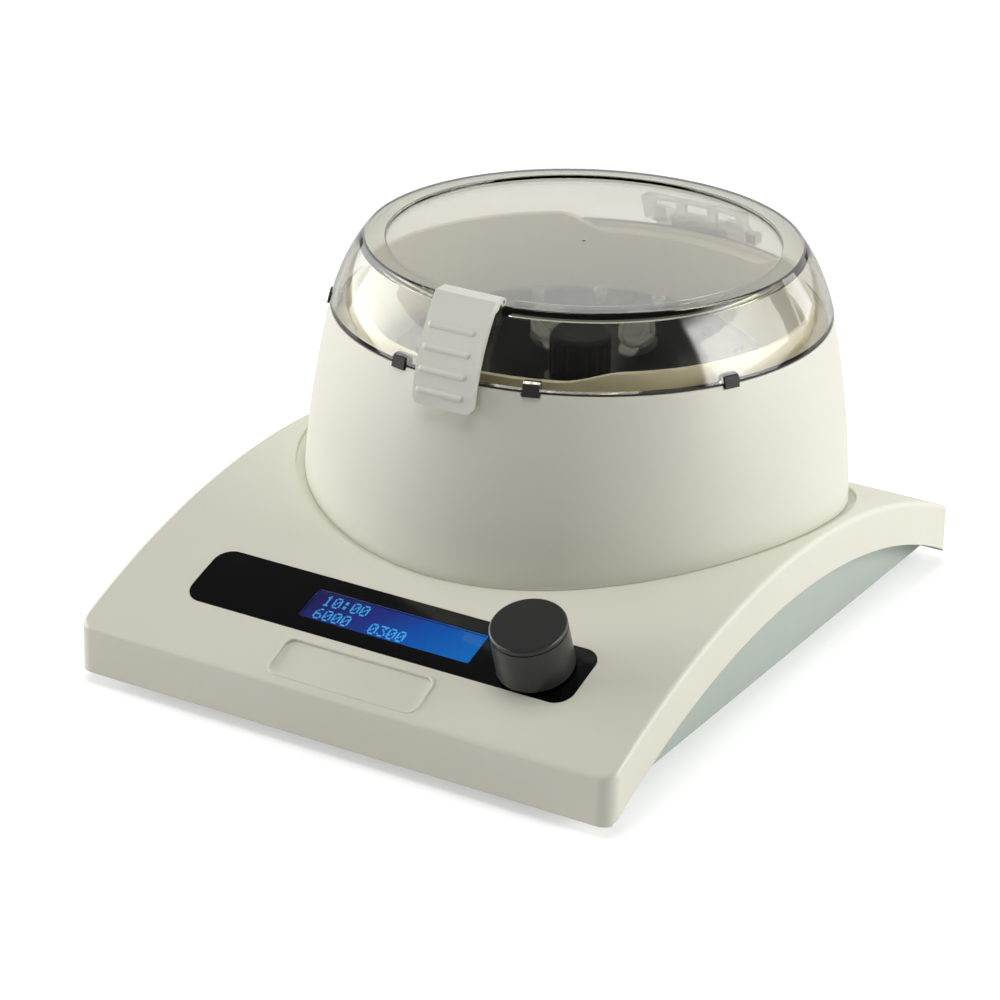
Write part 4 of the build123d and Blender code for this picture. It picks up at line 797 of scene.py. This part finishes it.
class RoomGraph:
    """Adds and links the nodes that work out the room's light from a direction."""

    def __init__(self, tree: bpy.types.NodeTree) -> None:
        """Start with the direction of each ray.

        Args:
            tree: node tree of the world.
        """
        self.tree = tree
        self.direction = tree.nodes.new("ShaderNodeTexCoord").outputs["Generated"]
        self.path = tree.nodes.new("ShaderNodeLightPath")

    def along(self, way: Point) -> Socket:
        """Part of each direction that lies along a way.

        Args:
            way: unit vector.

        Returns:
            Socket with the part.
        """
        dot = self.tree.nodes.new("ShaderNodeVectorMath")
        dot.operation = "DOT_PRODUCT"
        self.tree.links.new(self.direction, dot.inputs[0])
        dot.inputs[1].default_value = way
        return dot.outputs["Value"]

    def ramp(self, value: Socket, span: Span, low: float, high: float) -> Socket:
        """Smooth change from low to high over a span of a value.

        Args:
            value: socket that drives the change.
            span: values where the change starts and ends.
            low: result before the span.
            high: result after the span.

        Returns:
            Socket with the result.
        """
        ranged = self.tree.nodes.new("ShaderNodeMapRange")
        ranged.interpolation_type = "SMOOTHSTEP"
        self.tree.links.new(value, ranged.inputs["Value"])
        for name, number in zip(("From Min", "From Max", "To Min", "To Max"), (*span, low, high)):
            ranged.inputs[name].default_value = number
        return ranged.outputs["Result"]

    def combine(self, way: Maths, first: Socket, second: Socket | float) -> Socket:
        """Combine two values.

        Args:
            way: how to combine them.
            first: first value.
            second: second value, or a plain number.

        Returns:
            Socket with the result.
        """
        node = self.tree.nodes.new("ShaderNodeMath")
        node.operation = way.value
        self.tree.links.new(first, node.inputs[0])
        if isinstance(second, Socket):
            self.tree.links.new(second, node.inputs[1])
        else:
            node.inputs[1].default_value = second
        return node.outputs[0]

    def mix(self, factor: Socket, first: Socket, second: float) -> Socket:
        """Change from one value to another by a factor.

        Args:
            factor: value socket from 0 to 1.
            first: value at 0.
            second: value at 1.

        Returns:
            Socket with the result.
        """
        mix = self.tree.nodes.new("ShaderNodeMix")
        self.tree.links.new(factor, mix.inputs["Factor"])
        self.tree.links.new(first, mix.inputs["A"])
        mix.inputs["B"].default_value = second
        return mix.outputs["Result"]


@dataclass(frozen=True)
class Card:
    """White card that glossy pieces mirror. Bearings are degrees to the right of the camera."""

    start: float
    end: float
    strength: float
    start_soft: float
    end_soft: float
    top: Span = (0.54, 0.66)

    def light(self, graph: RoomGraph, bearing: Socket, height: Socket) -> Socket:
        """Light of the card from each direction.

        Args:
            graph: nodes of the room's light.
            bearing: socket with the bearing, in radians.
            height: socket with the sine of the elevation.

        Returns:
            Socket with the strength.
        """
        start, end = math.radians(self.start), math.radians(self.end)
        rising = graph.ramp(bearing, (start, start + math.radians(self.start_soft)), 0.0, 1.0)
        falling = graph.ramp(bearing, (end - math.radians(self.end_soft), end), 1.0, 0.0)
        level = graph.ramp(height, self.top, self.strength, 0.0)
        return graph.combine(Maths.MULTIPLY, graph.combine(Maths.MULTIPLY, rising, falling), level)


@dataclass(frozen=True)
class Surroundings:
    """Light that comes from the room: a pale backdrop behind, a dim ceiling, a dark front.

    Glossy pieces mirror a brighter backdrop, and the cards. Heights are sines of the elevation, and
    depths are shares of the way away from the camera.
    """

    front: float = 0.016
    ceiling: float = 0.104
    backdrop: float = 0.46
    backdrop_mirrored: float = 0.74
    ceiling_heights: Span = (0.0, 0.6)
    backdrop_heights: Span = (0.52, 0.75)
    backdrop_depths: Span = (-0.05, 0.4)
    cards: tuple[Card, ...] = (Card(-165.0, -62.0, 3.6, 60.0, 8.0), Card(54.0, 120.0, 6.4, 4.0, 52.0))

    def strength(self, graph: RoomGraph, azimuth: float) -> Socket:
        """Strength of the light from each direction.

        Args:
            graph: nodes of the room's light.
            azimuth: camera's azimuth, in degrees.

        Returns:
            Socket with the strength.
        """
        turn = math.radians(azimuth)
        height = graph.along((0.0, 0.0, 1.0))
        depth = graph.along((-math.sin(turn), math.cos(turn), 0.0))
        across = graph.along((math.cos(turn), math.sin(turn), 0.0))
        room = graph.ramp(height, self.ceiling_heights, self.front, self.ceiling)
        behind = graph.ramp(depth, self.backdrop_depths, 0.0, 1.0)
        below = graph.ramp(height, self.backdrop_heights, 1.0, 0.0)
        wall = graph.combine(Maths.MULTIPLY, behind, below)
        bearing = graph.combine(Maths.ARCTAN2, across, graph.combine(Maths.MULTIPLY, depth, -1.0))
        mirrored = graph.combine(Maths.MULTIPLY, wall, self.backdrop_mirrored)
        for card in self.cards:
            mirrored = graph.combine(Maths.ADD, mirrored, card.light(graph, bearing, height))
        extra = graph.combine(Maths.MULTIPLY, graph.path.outputs["Is Glossy Ray"], mirrored)
        return graph.combine(Maths.ADD, graph.mix(wall, room, self.backdrop), extra)


@dataclass
class Studio:
    """Pale floor, plain light and the camera of the photograph's viewpoint.

    The floor's own glow rises from the first of floor_glow to the second, over the distances of
    floor_reach, in metres.
    """

    floor_half: float = 6.0
    floor_glow: Span = (0.45, 1.0)
    floor_reach: Span = (0.45, 1.3)
    floor_tint: Colour = (0.9, 0.9, 0.89)
    floor_drift: Colour = (0.88, 0.88, 0.87)
    floor_drift_scale: float = 3.0
    floor_roughness: float = 0.8
    floor_sheen: float = 0.1
    white: float = 1.0
    azimuth: float = 30.35
    elevation: float = 23.51
    roll: float = 1.37
    lens: float = 124.03
    sensor: float = 36.0
    clip: Span = (0.05, 50.0)
    camera_place: Point = (0.50345, -0.88197, 0.48313)
    surroundings: Surroundings = Surroundings()
    lamps: tuple[Softbox, ...] = (
        Softbox("softbox_right", 113.0, 16.0, 1.2, 1.0, 0.5, 9.5),
        Softbox("strip_right_rear", 155.0, 14.0, 1.3, 0.22, 0.6, 1.0, mirrored=True),
        Softbox("softbox_left", -73.0, 6.0, 1.2, 1.2, 0.6, 10.9),
        Softbox("overhead", -20.0, 78.0, 1.4, 1.0, 1.0, 9.4),
    )

    def build(self) -> None:
        """Set up the world, the floor, the lamps and the camera."""
        self.world()
        self.floor()
        for lamp in self.lamps:
            lamp.build()
        self.camera()

    def world(self) -> None:
        """Light of the surroundings, which shows white to the camera."""
        world = bpy.data.worlds.new("studio")
        bpy.context.scene.world = world
        world.use_nodes = True
        tree = world.node_tree
        tree.nodes.clear()
        graph = RoomGraph(tree)
        room = self.surroundings.strength(graph, self.azimuth)
        shown = graph.mix(graph.path.outputs["Is Camera Ray"], room, self.white)
        back = tree.nodes.new("ShaderNodeBackground")
        back.inputs["Color"].default_value = (1.0, 1.0, 1.0, 1.0)
        tree.links.new(shown, back.inputs["Strength"])
        output = tree.nodes.new("ShaderNodeOutputWorld")
        tree.links.new(back.outputs["Background"], output.inputs["Surface"])

    def floor(self) -> None:
        """Pale floor that keeps the instrument's shadow."""
        deselect()
        bpy.ops.mesh.primitive_plane_add(size=2 * self.floor_half)
        floor = bpy.context.object
        floor.name = "floor"
        graph = Graph("floor_paper")
        paper = graph.principled({
            "Base Color": graph.mottle(self.floor_tint, self.floor_drift, self.floor_drift_scale),
            "Roughness": self.floor_roughness, "Specular IOR Level": self.floor_sheen})
        path = graph.node("ShaderNodeLightPath")
        seen = graph.node("ShaderNodeMath", {
            0: path.outputs["Is Camera Ray"], 1: path.outputs["Is Transmission Ray"]}, operation="MAXIMUM")
        away = graph.node("ShaderNodeVectorMath", {0: graph.coords}, operation="LENGTH")
        fade = graph.spread(away.outputs["Value"], *self.floor_glow, self.floor_reach)
        lift = graph.node("ShaderNodeMath", {0: seen.outputs[0], 1: fade}, operation="MULTIPLY")
        glow = graph.node("ShaderNodeEmission", {"Strength": lift.outputs[0]})
        both = graph.node("ShaderNodeAddShader", {0: paper, 1: glow.outputs["Emission"]})
        paint(floor, graph.finish(both.outputs["Shader"]))

    def camera(self) -> None:
        """Camera at the photograph's place."""
        turn, rise, tip = (math.radians(v) for v in (self.azimuth, self.elevation, self.roll))
        back = Vector((math.sin(turn) * math.cos(rise), -math.cos(turn) * math.cos(rise), math.sin(rise)))
        level = Vector((math.cos(turn), math.sin(turn), 0.0))
        upright = back.cross(level)
        across = level * math.cos(tip) + upright * math.sin(tip)
        up = upright * math.cos(tip) - level * math.sin(tip)
        data = bpy.data.cameras.new("photo_camera")
        data.sensor_width = self.sensor
        data.lens = self.lens
        data.clip_start, data.clip_end = self.clip
        camera = bpy.data.objects.new("photo_camera", data)
        bpy.context.scene.collection.objects.link(camera)
        axes = Matrix((across, up, back)).transposed().to_4x4()
        camera.matrix_world = Matrix.Translation(self.camera_place) @ axes
        bpy.context.scene.camera = camera
        bpy.context.scene.view_settings.view_transform = "Standard"


def main() -> None:
    """Dress the instrument, build its fine pieces and set up the studio."""
    logging.basicConfig(level=logging.INFO, format="%(message)s")
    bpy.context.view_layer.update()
    deselect()
    rack = FinishRack()
    rack.dress_nodes()
    Screen().build(rack, Slope())
    RockerMarks().build(rack)
    Studio().build()


if __name__ == "__main__":
    main()
